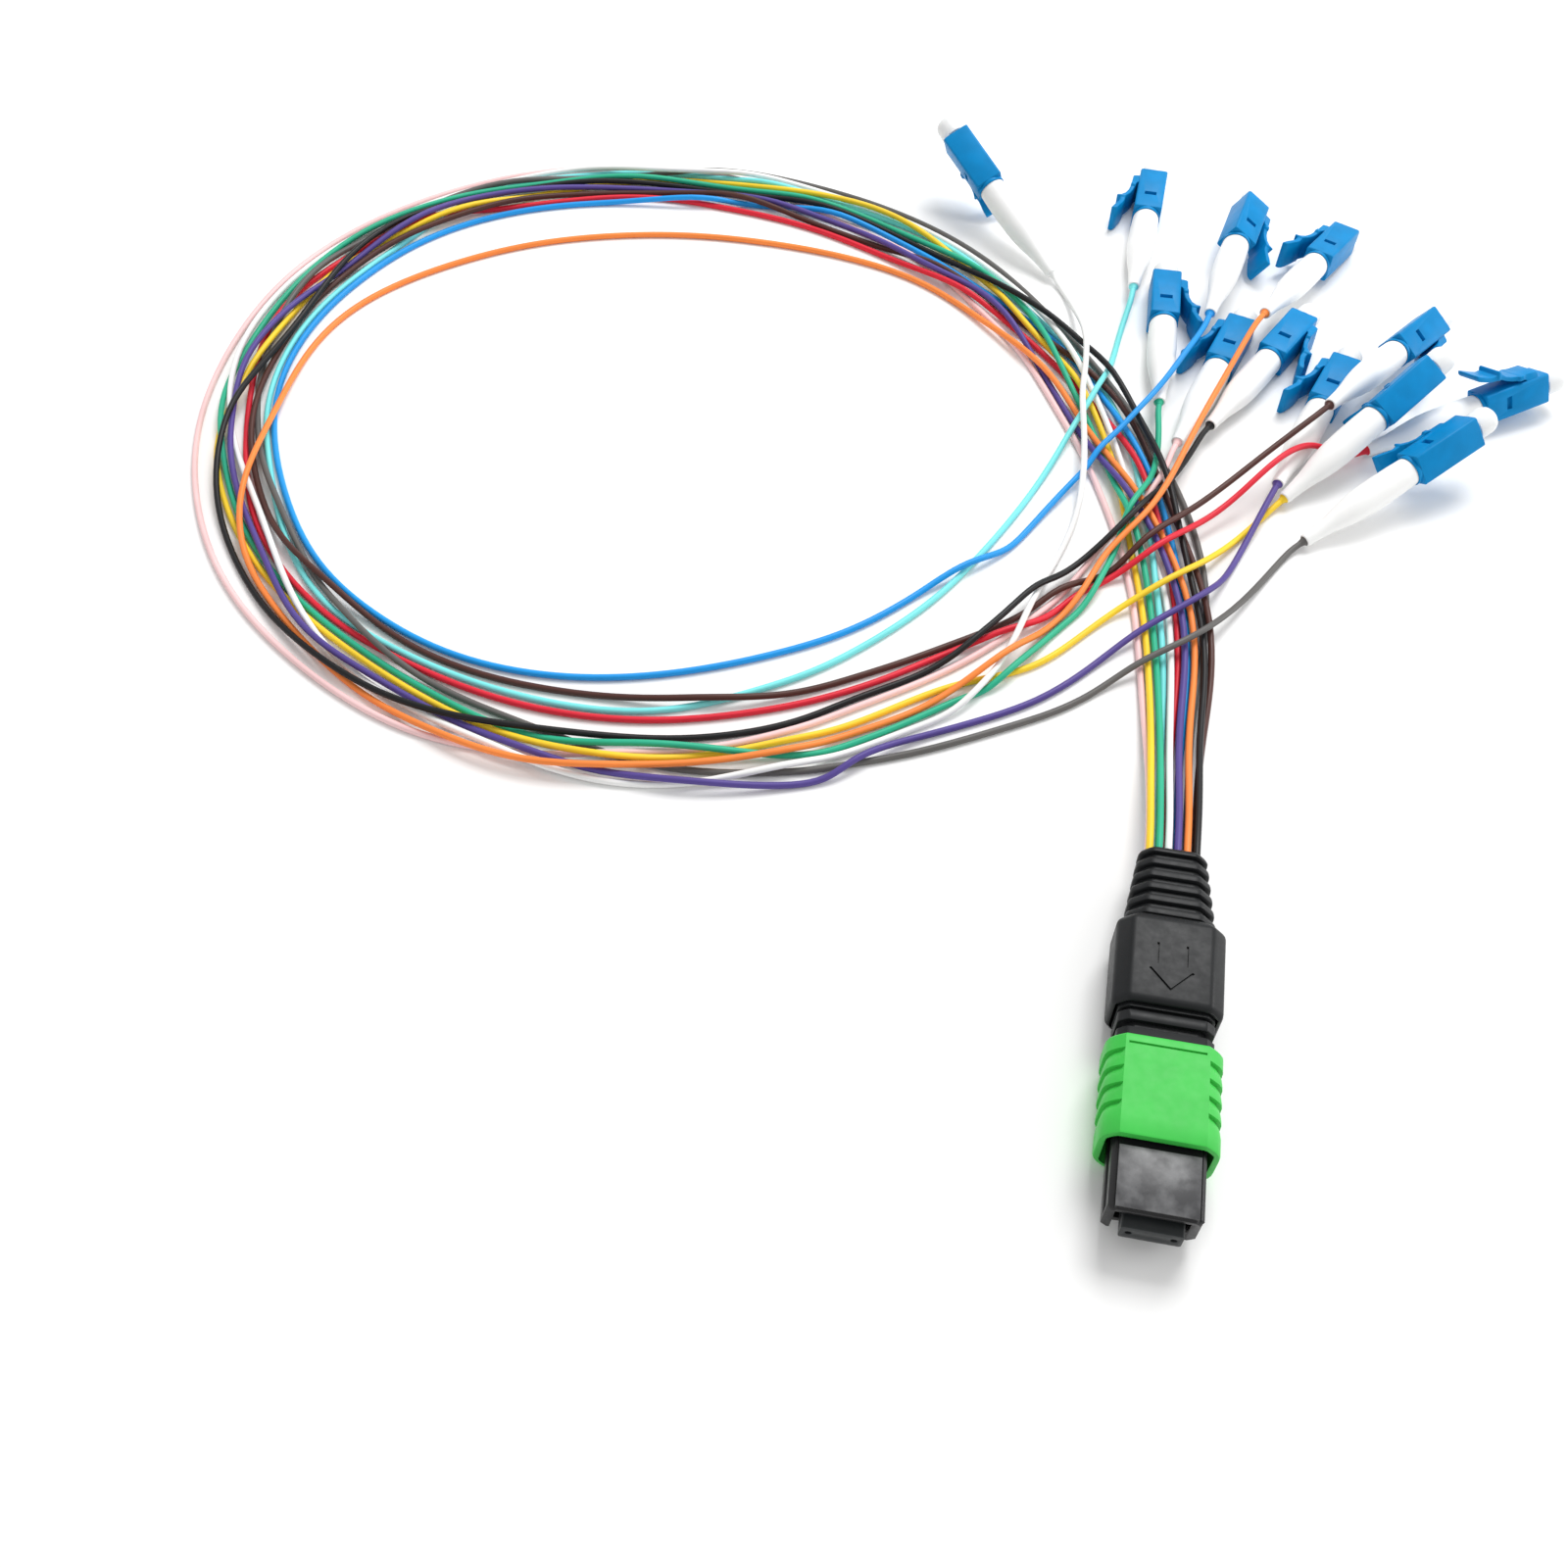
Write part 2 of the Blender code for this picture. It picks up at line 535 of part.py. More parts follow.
def dust_cap_mesh():
    """Dust cap: a shank in the front bore and a round head in front of it."""
    head = CAP_DIAMETER / 2
    shank = CAP_SHANK_DIAMETER / 2
    seat = FIT
    end = seat + CAP_LENGTH
    profile = ((-CAP_SHANK_LENGTH, 0.0), (-CAP_SHANK_LENGTH, shank), (seat, shank), (seat, head),
               (end - CAP_EDGE, head), (end, head - CAP_EDGE), (end, 0.0))
    cap = turned("cap", profile, BORE_SIDES)
    mesh = cap.data
    bpy.data.objects.remove(cap)
    return mesh


def connector_pose(colour):
    """Place of a connector, with its front face at its own origin."""
    x, y, lift, heading, pitch, roll = CONNECTORS[colour]
    tip = pose(x, y, lying_height() + lift * MM, heading, pitch, roll)
    return tip @ Matrix.Translation((0.0, connector_length(), 0.0))


def add_connectors(finishes):
    """Twelve connectors, each of a housing, a boot and a dust cap."""
    housing = connector_housing_mesh()
    boot = connector_boot_mesh()
    cap = dust_cap_mesh()
    pieces = (("lc_housing", housing, "connector_blue"), ("lc_boot", boot, "boot_white"),
              ("lc_dust_cap", cap, "cap_clear"))
    for colour in CONNECTORS:
        for name, mesh, finish in pieces:
            piece = bpy.data.objects.new(f"{name}_{colour}", mesh)
            bpy.context.collection.objects.link(piece)
            piece.matrix_world = connector_pose(colour)
            shade(piece, finishes[finish])


# Trunk plug. Its rear end is at y = 0 and its front points along +Y

def plug_pose():
    return pose(PLUG_REAR[0], PLUG_REAR[1], PLUG_AXIS_HEIGHT, PLUG_HEADING)


def lane_pitch():
    return STRAND_DIAMETER + STRAND_GAP


def rear_body_size():
    """The rear body fills the boot's socket and the sleeve's bore with a clearance."""
    width = PLUG_BOOT_WIDTH - 2 * PLUG_BOOT_WALL - 2 * FIT
    height = PLUG_BOOT_HEIGHT - 2 * PLUG_BOOT_WALL - 2 * FIT
    return width, height


def sleeve_rear():
    return PLUG_BOOT_LENGTH + NECK_LENGTH


def housing_rear():
    """The front housing starts under the middle of the sleeve."""
    return sleeve_rear() + HOUSING_IN_SLEEVE


def plug_boot():
    """Boot of the trunk plug: ribs at the rear, a plain grip and an open socket at the front."""
    sections = []
    rib_pitch = RIBBED_LENGTH / RIB_COUNT
    for rib in range(RIB_COUNT):
        for share, inset in ((0.0, 0.0), (1 - RIB_GROOVE_SHARE, 0.0),
                             (1 - RIB_GROOVE_SHARE, RIB_DEPTH), (1.0, RIB_DEPTH)):
            y = rib_pitch * (rib + share)
            grown = y / RIBBED_LENGTH
            width = RIBBED_REAR_WIDTH + (RIBBED_FRONT_WIDTH - RIBBED_REAR_WIDTH) * grown - inset
            height = RIBBED_REAR_HEIGHT + (RIBBED_FRONT_HEIGHT - RIBBED_REAR_HEIGHT) * grown - inset
            sections.append((y, chamfered(width, height, RIB_CHAMFER_SHARE * height)))
    full = chamfered(PLUG_BOOT_WIDTH, PLUG_BOOT_HEIGHT, PLUG_BOOT_CHAMFER)
    eased = chamfered(PLUG_BOOT_WIDTH - PLUG_BOOT_EDGE, PLUG_BOOT_HEIGHT - PLUG_BOOT_EDGE,
                      PLUG_BOOT_CHAMFER)
    sections += [(RIBBED_LENGTH, eased), (RIBBED_LENGTH + PLUG_BOOT_EDGE, full),
                 (PLUG_BOOT_LENGTH, full)]
    boot = loft("mpo_boot", sections)
    width, height = rear_body_size()
    socket = prism("socket", chamfered(width + 2 * FIT, height + 2 * FIT, REAR_BODY_CHAMFER),
                   PLUG_BOOT_LENGTH - PLUG_BOOT_SOCKET, PLUG_BOOT_LENGTH + OVERRUN)
    slot_width = (len(UPPER_LANES) - 1) * lane_pitch() + STRAND_DIAMETER + 2 * SLOT_CLEARANCE
    slot_height = lane_pitch() + STRAND_DIAMETER + 2 * SLOT_CLEARANCE
    slot = prism("slot", chamfered(slot_width, slot_height, SLOT_CHAMFER), -OVERRUN, SLOT_DEPTH)
    return cut_or_join(boot, [socket, slot] + arrow_cutters(), "DIFFERENCE")


def arrow_cutters():
    """An arrow engraved in the top of the boot, pointing to the front: two lines and a head."""
    surface = PLUG_BOOT_HEIGHT / 2
    tip = PLUG_BOOT_LENGTH - ARROW_FROM_FRONT
    start = tip - ARROW_LENGTH
    half = ARROW_WIDTH / 2
    head_start = tip - ARROW_HEAD_SLOPE * half
    cutters = []
    for side in (-1, 1):
        middle = side * ARROW_LINE_SPREAD * half
        line_end = head_start - ARROW_HEAD_GAP
        cutters.append(box(f"line_{side}", (middle - ARROW_LINE / 2, start, surface - ARROW_DEPTH),
                           (middle + ARROW_LINE / 2, line_end, surface + ARROW_LINE)))
    inner = half - ARROW_LINE
    outline = ((-half, head_start), (0.0, tip), (half, head_start), (inner, head_start - ARROW_LINE),
               (0.0, tip - ARROW_HEAD_LINE), (-inner, head_start - ARROW_LINE))
    shape = bmesh.new()
    face = shape.faces.new([shape.verts.new((x, y, surface - ARROW_DEPTH)) for x, y in outline])
    pushed = bmesh.ops.extrude_face_region(shape, geom=[face])
    moved = [item for item in pushed["geom"] if isinstance(item, bmesh.types.BMVert)]
    bmesh.ops.translate(shape, verts=moved, vec=(0.0, 0.0, ARROW_DEPTH + ARROW_LINE))
    cutters.append(add_mesh("arrow_head", shape))
    return cutters


def plug_rear_body():
    """Body between boot and front housing: it shows as a grooved neck behind the sleeve."""
    width, height = rear_body_size()
    full = chamfered(width, height, REAR_BODY_CHAMFER)
    waist = chamfered(width - NECK_GROOVE_DEPTH * 2, height - NECK_GROOVE_DEPTH * 2, REAR_BODY_CHAMFER)
    inset = 2 * REAR_BODY_PLUG_INSET
    plug = chamfered(HOUSING_WIDTH - inset, HOUSING_HEIGHT - inset, REAR_BODY_CHAMFER)
    start = PLUG_BOOT_LENGTH - PLUG_BOOT_SOCKET + FIT
    groove = PLUG_BOOT_LENGTH + (NECK_LENGTH - NECK_GROOVE_LENGTH) / 2 + NECK_GROOVE_OFFSET
    end = housing_rear() - FIT
    sections = ((start, full), (groove, full), (groove, waist), (groove + NECK_GROOVE_LENGTH, waist),
                (groove + NECK_GROOVE_LENGTH, full), (end, full), (end, plug),
                (end + REAR_BODY_PLUG_LENGTH, plug))
    return loft("mpo_rear_body", sections)


def plug_housing():
    """Front housing: a raised key on top, side rails, and the ferrule's opening."""
    half = HOUSING_HEIGHT / 2
    front = HOUSING_FRONT
    full = chamfered(HOUSING_WIDTH, HOUSING_HEIGHT, HOUSING_CHAMFER)
    tapered = chamfered(HOUSING_WIDTH - HOUSING_EDGE, HOUSING_HEIGHT - HOUSING_EDGE, HOUSING_CHAMFER)
    sections = ((housing_rear(), full), (front - HOUSING_EDGE, full), (front, tapered))
    housing = loft("mpo_housing", sections)
    key = box("key", (-KEY_WIDTH / 2, housing_rear() + KEY_START, half - KEY_SEAT),
              (KEY_WIDTH / 2, front - KEY_END, half + KEY_HEIGHT))
    cut_or_join(housing, [key], "UNION")
    inset = 2 * REAR_BODY_PLUG_INSET - 2 * FIT
    cuts = [prism("rear_socket", chamfered(HOUSING_WIDTH - inset, HOUSING_HEIGHT - inset,
                                           REAR_BODY_CHAMFER),
                  housing_rear() - OVERRUN, housing_rear() + REAR_BODY_PLUG_LENGTH),
            box("ferrule_opening",
                (-FERRULE_WIDTH / 2 - FIT, ferrule_rear() - FIT, -FERRULE_HEIGHT / 2 - FIT),
                (FERRULE_WIDTH / 2 + FIT, front + OVERRUN, FERRULE_HEIGHT / 2 + FIT))]
    for side in (-1, 1):
        edges = sorted((side * (HOUSING_WIDTH / 2 - RAIL_DEPTH), side * HOUSING_WIDTH))
        cuts.append(box(f"rail_{side}", (edges[0], sleeve_rear() + SLEEVE_LENGTH / 2, -RAIL_HEIGHT / 2),
                        (edges[1], front - RAIL_END, RAIL_HEIGHT / 2)))
    return cut_or_join(housing, cuts, "DIFFERENCE")


def ferrule_rear():
    return HOUSING_FRONT + FERRULE_PROTRUSION - FERRULE_LENGTH


def ferrule():
    """Rectangular ferrule with two guide holes in its front face."""
    front = HOUSING_FRONT + FERRULE_PROTRUSION
    outline = chamfered(FERRULE_WIDTH, FERRULE_HEIGHT, FERRULE_CHAMFER)
    block = prism("mt_ferrule", outline, ferrule_rear(), front)
    holes = []
    for side in (-1, 1):
        radius = GUIDE_HOLE_DIAMETER / 2
        depth = front - GUIDE_HOLE_DEPTH
        hole = turned(f"guide_{side}", ((depth, 0.0), (depth, radius), (front + OVERRUN, radius),
                                        (front + OVERRUN, 0.0)), BORE_SIDES)
        hole.location.x = side * GUIDE_HOLE_PITCH / 2
        holes.append(hole)
    return cut_or_join(block, holes, "DIFFERENCE")


def sleeve():
    """Sliding grip: a rounded collar with grooves on both sides and a line across the top."""
    rear = sleeve_rear()
    front = rear + SLEEVE_LENGTH
    outer = rounded(SLEEVE_WIDTH, SLEEVE_HEIGHT, SLEEVE_SIDE_RADIUS, SLEEVE_ROUND_STEPS)
    eased = rounded(SLEEVE_WIDTH - 2 * SLEEVE_EDGE, SLEEVE_HEIGHT - 2 * SLEEVE_EDGE,
                    SLEEVE_SIDE_RADIUS, SLEEVE_ROUND_STEPS)
    grip = loft("mpo_sleeve", ((rear, eased), (rear + SLEEVE_EDGE, outer), (front, outer)))
    width, height = rear_body_size()
    bore = prism("bore", chamfered(width + 2 * FIT, height + 2 * FIT, REAR_BODY_CHAMFER),
                 rear - OVERRUN, front + OVERRUN)
    cuts = [bore]
    top = SLEEVE_HEIGHT / 2
    line = rear + SLEEVE_LINE_START
    line_half = SLEEVE_WIDTH / 2 - SLEEVE_SIDE_RADIUS + SLEEVE_LINE_OVER
    cuts.append(box("line", (-line_half, line, top - SLEEVE_LINE_DEPTH),
                    (line_half, line + SLEEVE_LINE_WIDTH, top + OVERRUN)))
    for side in (-1, 1):
        for index in range(GRIP_COUNT):
            y = rear + GRIP_START + GRIP_PITCH * index
            edges = sorted((side * (SLEEVE_WIDTH / 2 - GRIP_DEPTH), side * SLEEVE_WIDTH))
            reach = SLEEVE_HEIGHT / 2 - GRIP_END
            cuts.append(box(f"grip_{side}_{index}", (edges[0], y, -reach),
                            (edges[1], y + GRIP_WIDTH, reach)))
    return cut_or_join(grip, cuts, "DIFFERENCE")


def add_trunk_plug(finishes):
    """The five pieces of the trunk plug, in place."""
    pieces = ((plug_boot(), "plug_black"), (plug_rear_body(), "plug_black"),
              (plug_housing(), "plug_black"), (ferrule(), "ferrule_grey"),
              (sleeve(), "sleeve_green"))
    for piece, finish in pieces:
        piece.matrix_world = plug_pose()
        shade(piece, finishes[finish])


# Strands

def smooth_curve(controls, steps):
    """Cubic B-spline that starts and ends on the first and last point, with steps in each span."""
    controls = np.array(controls, dtype=float)
    before = 2 * controls[0] - controls[1]
    after = 2 * controls[-1] - controls[-2]
    padded = np.vstack([before, controls, after])
    t = (np.arange(steps) / steps)[:, None]
    weights = ((1 - t) ** 3 / 6, (3 * t ** 3 - 6 * t ** 2 + 4) / 6,
               (-3 * t ** 3 + 3 * t ** 2 + 3 * t + 1) / 6, t ** 3 / 6)
    spans = []
    for start in range(len(padded) - 3):
        spans.append(sum(weight * padded[start + index] for index, weight in enumerate(weights)))
    return np.vstack(spans + [controls[-1:]])


def on_plan(x, y, height):
    """A point of the plan, in the model's metres."""
    return Vector(((x - PLAN_CENTRE.x) * MM, (y - PLAN_CENTRE.y) * MM, height))


def trunk_points(colour):
    """From inside the trunk plug's boot out to the floor behind it."""
    upper = colour in UPPER_LANES
    lanes = UPPER_LANES if upper else LOWER_LANES
    # The plug's front points towards -Y, so its own +X side is the plan's left side
    across = ((len(lanes) - 1) / 2 - lanes.index(colour)) * lane_pitch()
    up = lane_pitch() / 2 if upper else -lane_pitch() / 2
    place = plug_pose()
    points = [place @ Vector((across, y, up)) for y in (STRAND_ENTRY, 0.0, -STRAIGHT_END)]
    for distance, height in TRUNK_EXIT:
        point = place @ Vector((TRUNK_SPREAD * across, -distance * MM, 0.0))
        point.z = height * MM + (lane_pitch() if upper else 0.0)
        points.append(point)
    return points


def loop_points(colour):
    """Round the loop. A B-spline runs inside its points on a curve, so they are moved out."""
    outward = 3 / (2 + math.cos(math.radians(LOOP_STEP)))
    points = []
    for index, radius in enumerate(LOOP_RADII[colour]):
        angle = math.radians(LOOP_START + LOOP_STEP * index)
        points.append(on_plan(LOOP_CENTRE[0] + outward * radius * math.cos(angle),
                              LOOP_CENTRE[1] + outward * radius * math.sin(angle), 0.0))
    return points


def leg_points(colour):
    """From the loop into the tip of the connector's boot."""
    points = [on_plan(x, y, height * MM) for x, y, height in LEGS[colour]]
    place = connector_pose(colour)
    tip = -connector_length()
    ends = [place @ Vector((0.0, tip + step, 0.0)) for step in (-STRAIGHT_END, 0.0, STRAND_ENTRY)]
    return points + ends


def strand_route(colour):
    """Samples along a strand, with the least height of each, and where its leg begins."""
    start = trunk_points(colour) + loop_points(colour)
    controls = start + leg_points(colour)
    return smooth_curve([tuple(point) for point in controls], SPAN_STEPS), len(start) * SPAN_STEPS


def arc_lengths(route):
    steps = np.linalg.norm(np.diff(route[:, :2], axis=0), axis=1)
    return np.concatenate([[0.0], np.cumsum(steps)])


def eased_step(share):
    """From 0 to 1 with level ends."""
    share = np.clip(share, 0.0, 1.0)
    return share * share * (3 - 2 * share)


def strands_before_settling(colours):
    """Each strand in a layer of its own, its leg over every loop, and each point's way to an end."""
    routes = []
    from_ends = []
    for rank, colour in enumerate(colours):
        route, leg_start = strand_route(colour)
        distance = arc_lengths(route)
        from_end = np.minimum(distance, distance[-1] - distance)
        lift = np.full(len(route), rank * LAYER)
        leg = np.arange(len(route)) >= leg_start
        from_loop = route[:, 0] - (LOOP_CENTRE[0] + LIFT_START - PLAN_CENTRE.x) * MM
        lift += leg * len(colours) * LAYER * eased_step(from_loop / LIFT_LENGTH)
        start = route.copy()
        start[:, 2] += lift * eased_step((from_end - HELD_END) / LIFT_LENGTH)
        routes.append(start)
        from_ends.append(from_end)
    return routes, np.concatenate(from_ends)


def closest_points(points, first, second):
    """Shares along each pair of segments at their closest points, and the gap between these."""
    start_a = points[first]
    start_b = points[second]
    along_a = points[first + 1] - start_a
    along_b = points[second + 1] - start_b
    between = start_a - start_b
    aa = (along_a * along_a).sum(axis=1)
    bb = (along_b * along_b).sum(axis=1)
    ab = (along_a * along_b).sum(axis=1)
    ad = (along_a * between).sum(axis=1)
    bd = (along_b * between).sum(axis=1)
    spread = np.maximum(aa * bb - ab * ab, 1e-6 * aa * bb)
    share_a = np.clip((ab * bd - bb * ad) / spread, 0.0, 1.0)
    share_b = np.clip((ab * share_a + bd) / bb, 0.0, 1.0)
    share_a = np.clip((ab * share_b - ad) / aa, 0.0, 1.0)
    gap = between + share_a[:, None] * along_a - share_b[:, None] * along_b
    return share_a, share_b, gap


def near_pairs(points, segments, neighbours):
    """Pairs of segments that may meet soon, leaving out neighbours along one strand."""
    middles = (points[segments] + points[segments + 1]) / 2
    longest = np.linalg.norm(points[segments + 1] - points[segments], axis=1).max()
    reach = longest + lane_pitch() + SEARCH_MARGIN
    first = []
    second = []
    for start in range(0, len(segments), SEARCH_BLOCK):
        block = middles[start:start + SEARCH_BLOCK]
        apart = np.abs(block[:, None, :2] - middles[None, start:, :2]).max(axis=2)
        row, column = np.nonzero(apart < reach)
        later = column >= row + neighbours
        first.append(segments[start + row[later]])
        second.append(segments[start + column[later]])
    first = np.concatenate(first)
    second = np.concatenate(second)
    gap = closest_points(points, first, second)[2]
    near = np.linalg.norm(gap, axis=1) < lane_pitch() + SEARCH_MARGIN
    return first[near], second[near]


def push_apart(points, first, second, free):
    """Move the ends of each pair of segments that are nearer to each other than a lane."""
    share_a, share_b, gap = closest_points(points, first, second)
    length = np.maximum(np.linalg.norm(gap, axis=1), 1e-9)
    near = length < lane_pitch()
    push = gap[near] * (0.5 * (lane_pitch() / length[near] - 1.0))[:, None]
    moves = np.zeros_like(points)
    counts = np.zeros(len(points))
    for index, share, sign in ((first[near], share_a[near], 1), (second[near], share_b[near], -1)):
        whole = (1 - share) ** 2 + share ** 2
        for offset, weight in ((0, (1 - share) / whole), (1, share / whole)):
            for axis in range(3):
                moves[:, axis] += np.bincount(index + offset, sign * weight * push[:, axis], len(points))
            counts += np.bincount(index + offset, weight, len(points))
    return points + moves * (free / np.maximum(counts, 1.0) ** CONTACT_SHARING)[:, None]


def straighten(points, bend_at_rest, inner, free):
    """Pull each point towards the bend that its strand had before it was laid down."""
    bend = np.zeros_like(points)
    bend[inner] = points[inner - 1] + points[inner + 1] - 2 * points[inner]
    excess = bend - bend_at_rest
    change = np.zeros_like(points)
    change[inner] = excess[inner - 1] + excess[inner + 1] - 2 * excess[inner]
    return points - STIFFNESS * change * free[:, None]


def strand_segments(sizes):
    """First points of all segments, and the points that have one on both sides."""
    ends = np.cumsum(sizes)
    is_last = np.zeros(ends[-1], dtype=bool)
    is_last[ends - 1] = True
    is_first = np.roll(is_last, 1)
    return np.nonzero(~is_last)[0], np.nonzero(~is_last & ~is_first)[0]


def floor_under(heights):
    return np.maximum(heights, STRAND_DIAMETER / 2 + FLOOR_GAP)


def laid_strands():
    """Let the strands sink onto the floor and each other, each as wide as a lane."""
    colours = list(STRAND_COLOURS)
    routes, from_end = strands_before_settling(colours)
    sizes = [len(route) for route in routes]
    points = np.vstack(routes)
    rest = np.vstack([strand_route(colour)[0] for colour in colours])
    floors = floor_under(rest[:, 2])
    free = np.where(from_end < HELD_END, 0.0, 1.0)
    segments, inner = strand_segments(sizes)
    flat = rest.copy()
    flat[:, 2] = 0.0
    bend_at_rest = np.zeros_like(points)
    bend_at_rest[inner] = flat[inner - 1] + flat[inner + 1] - 2 * flat[inner]
    for turn in range(SETTLING_ROUNDS):
        if turn % SEARCH_EVERY == 0:
            first, second = near_pairs(points, segments, NEIGHBOURS)
        lift = points[:, 2] - rest[:, 2]
        level = points[:, 2].copy()
        level[inner] += LEVELLING * (lift[inner - 1] + lift[inner + 1] - 2 * lift[inner])
        points = straighten(points, bend_at_rest, inner, free)
        if turn < SETTLING_ROUNDS - RESTING_ROUNDS:
            points[:, 2] = np.where(from_end > LEVELLED_FROM, level, points[:, 2])
            points[:, 2] -= free * (SINK_STEP if turn < SINKING_ROUNDS else LAST_SINK_STEP)
        for _ in range(PUSHES_A_ROUND):
            pushed = push_apart(points, first, second, free)
            points += (pushed - points) * STACKING
        points[:, 2] = np.maximum(points[:, 2], floors)
    return dict(zip(colours, np.split(points, np.cumsum(sizes)[:-1])))


def tube_points(routes):
    """The fewer points of the tubes, moved apart again where a straight run cuts a bend short."""
    picked = []
    for route in routes.values():
        chosen = list(range(0, len(route) - TUBE_STEPS, TUBE_STEPS)) + [len(route) - 1]
        picked.append(route[chosen])
    points = np.vstack(picked)
    sizes = [len(route) for route in picked]
    segments, inner = strand_segments(sizes)
    free = np.zeros(len(points))
    free[inner] = 1.0
    for colour_start, size in zip(np.cumsum([0] + sizes[:-1]), sizes):
        distance = arc_lengths(points[colour_start:colour_start + size])
        held = np.minimum(distance, distance[-1] - distance) < HELD_END
        free[colour_start:colour_start + size][held] = 0.0
    first, second = near_pairs(points, segments, NEIGHBOURS // TUBE_STEPS)
    for _ in range(TUBE_ROUNDS):
        points = push_apart(points, first, second, free)
        points[:, 2] = floor_under(points[:, 2])
    return dict(zip(routes, np.split(points, np.cumsum(sizes)[:-1])))


def add_strands():
    """One round tube for each strand."""
    for colour, points in tube_points(laid_strands()).items():
        curve = bpy.data.curves.new(f"strand_{colour}", "CURVE")
        curve.dimensions = "3D"
        curve.bevel_depth = STRAND_DIAMETER / 2
        curve.bevel_resolution = 2
        curve.use_fill_caps = True
        spline = curve.splines.new("POLY")
        spline.points.add(len(points) - 1)
        for place, point in zip(spline.points, points):
            place.co = (*point, 1.0)
        spline.use_smooth = True
        curve.materials.append(material(f"strand_{colour}", STRAND_COLOURS[colour], 0.42))
        strand = bpy.data.objects.new(f"strand_{colour}", curve)
        bpy.context.collection.objects.link(strand)


def main():
    for old in list(bpy.data.objects):
        bpy.data.objects.remove(old)
    finishes = {name: material(name, *look) for name, look in PLASTIC_COLOURS.items()}
    add_trunk_plug(finishes)
    add_connectors(finishes)
    add_strands()


main()
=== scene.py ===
"""Looks of the fibre breakout cable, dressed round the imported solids, in metres."""

import math

import bmesh
import bpy
import numpy as np
from mathutils import Matrix, Vector


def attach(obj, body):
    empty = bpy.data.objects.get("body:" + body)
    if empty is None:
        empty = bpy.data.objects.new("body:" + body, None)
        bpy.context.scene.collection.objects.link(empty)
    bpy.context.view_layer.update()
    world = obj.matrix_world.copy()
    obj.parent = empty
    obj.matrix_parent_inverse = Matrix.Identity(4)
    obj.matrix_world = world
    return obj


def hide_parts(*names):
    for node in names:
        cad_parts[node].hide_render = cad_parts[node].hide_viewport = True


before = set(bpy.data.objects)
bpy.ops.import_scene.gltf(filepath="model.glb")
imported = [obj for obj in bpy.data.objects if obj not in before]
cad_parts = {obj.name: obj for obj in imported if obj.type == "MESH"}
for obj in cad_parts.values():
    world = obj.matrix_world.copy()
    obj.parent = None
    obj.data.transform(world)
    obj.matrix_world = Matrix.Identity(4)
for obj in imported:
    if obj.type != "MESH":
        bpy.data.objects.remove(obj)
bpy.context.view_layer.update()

MM = 0.001

# Camera: height over the table, tilt below the horizon in degrees, focal length and sideways shift
# in widths of the image
CAMERA_HEIGHT = 168.0 * MM
CAMERA_TILT = 53.0
CAMERA_FOCAL = 1715 / 1600
CAMERA_SHIFT = 0.014
CAMERA_CLIP = 1.0 * MM
SENSOR_WIDTH = 36.0

# Table: half its side, colour, then roughness and shine
TABLE_REACH = 4.0
TABLE_COLOUR = (0.93, 0.93, 0.925)
TABLE_GLOSS = (0.9, 0.1)

# Light: strength of the surroundings, and soft boxes with place, size and power
WORLD_STRENGTH = 0.68
LIGHTS = (
    ("key", (0.16, 0.42, 0.70), 0.40, 5.2),
    ("right", (0.80, 0.10, 0.30), 0.30, 2.2),
)

# Strands: size, room beside each, reach into the boots, and room over the floor
STRAND_DIAMETER = 0.9 * MM
STRAND_GAP = 0.2 * MM
STRAND_ENTRY = 2.7 * MM
FLOOR_GAP = 0.02 * MM
LANE_PITCH = STRAND_DIAMETER + STRAND_GAP
STRAND_FLOOR = STRAND_DIAMETER / 2 + FLOOR_GAP

# Single-fibre connector, from its front face to the tip of its boot
FIT = 0.3 * MM
BODY_WIDTH = 4.5 * MM
BODY_LENGTH = 10.7 * MM
COLLAR_DIAMETER = 4.6 * MM
COLLAR_LENGTH = 1.2 * MM
LUG_WIDTH = 4.4 * MM
BOOT_LENGTH = 17.4 * MM
BOOT_FRONT = -BODY_LENGTH - COLLAR_LENGTH - FIT
CONNECTOR_LENGTH = BOOT_LENGTH - BOOT_FRONT
LYING_HEIGHT = max(BODY_WIDTH, COLLAR_DIAMETER, LUG_WIDTH) / 2 + FLOOR_GAP

# Places on the plan, in millimetres: the model's origin, the trunk plug's rear, and for each
# connector x, y and lift of the boot's tip, then heading of the front, pitch and roll
PLAN_CENTRE = Vector((74.23, 160.94))
PLUG_AXIS_HEIGHT = 4.55 * MM
PLUG_REAR = (48.3, 112.2)
PLUG_HEADING = -100.9
CONNECTORS = {
    "white": (46.7, 228.6, -1.1, 121.0, 17.5, -155.0),
    "aqua": (59.0, 223.7, 0.0, 76.3, 0.0, 90.0),
    "blue": (68.8, 213.1, 3.0, 68.2, 0.0, -122.0),
    "orange": (77.2, 213.0, 3.1, 53.0, -5.9, 90.0),
    "green": (59.1, 196.0, 0.0, 80.0, 0.0, -90.0),
    "rose": (60.5, 187.2, 0.0, 62.5, 0.0, 90.0),
    "black": (65.9, 190.9, 0.0, 52.6, 0.0, -90.0),
    "violet": (73.5, 178.4, 0.0, 60.0, 0.0, 90.0),
    "brown": (82.1, 190.1, 4.5, 45.8, -4.2, -122.0),
    "yellow": (74.3, 176.5, -1.0, 38.3, 16.8, 150.0),
    "red": (88.3, 186.6, -0.97, 22.5, 5.4, 25.0),
    "slate": (75.6, 168.1, -1.1, 31.2, 14.0, 125.0),
}

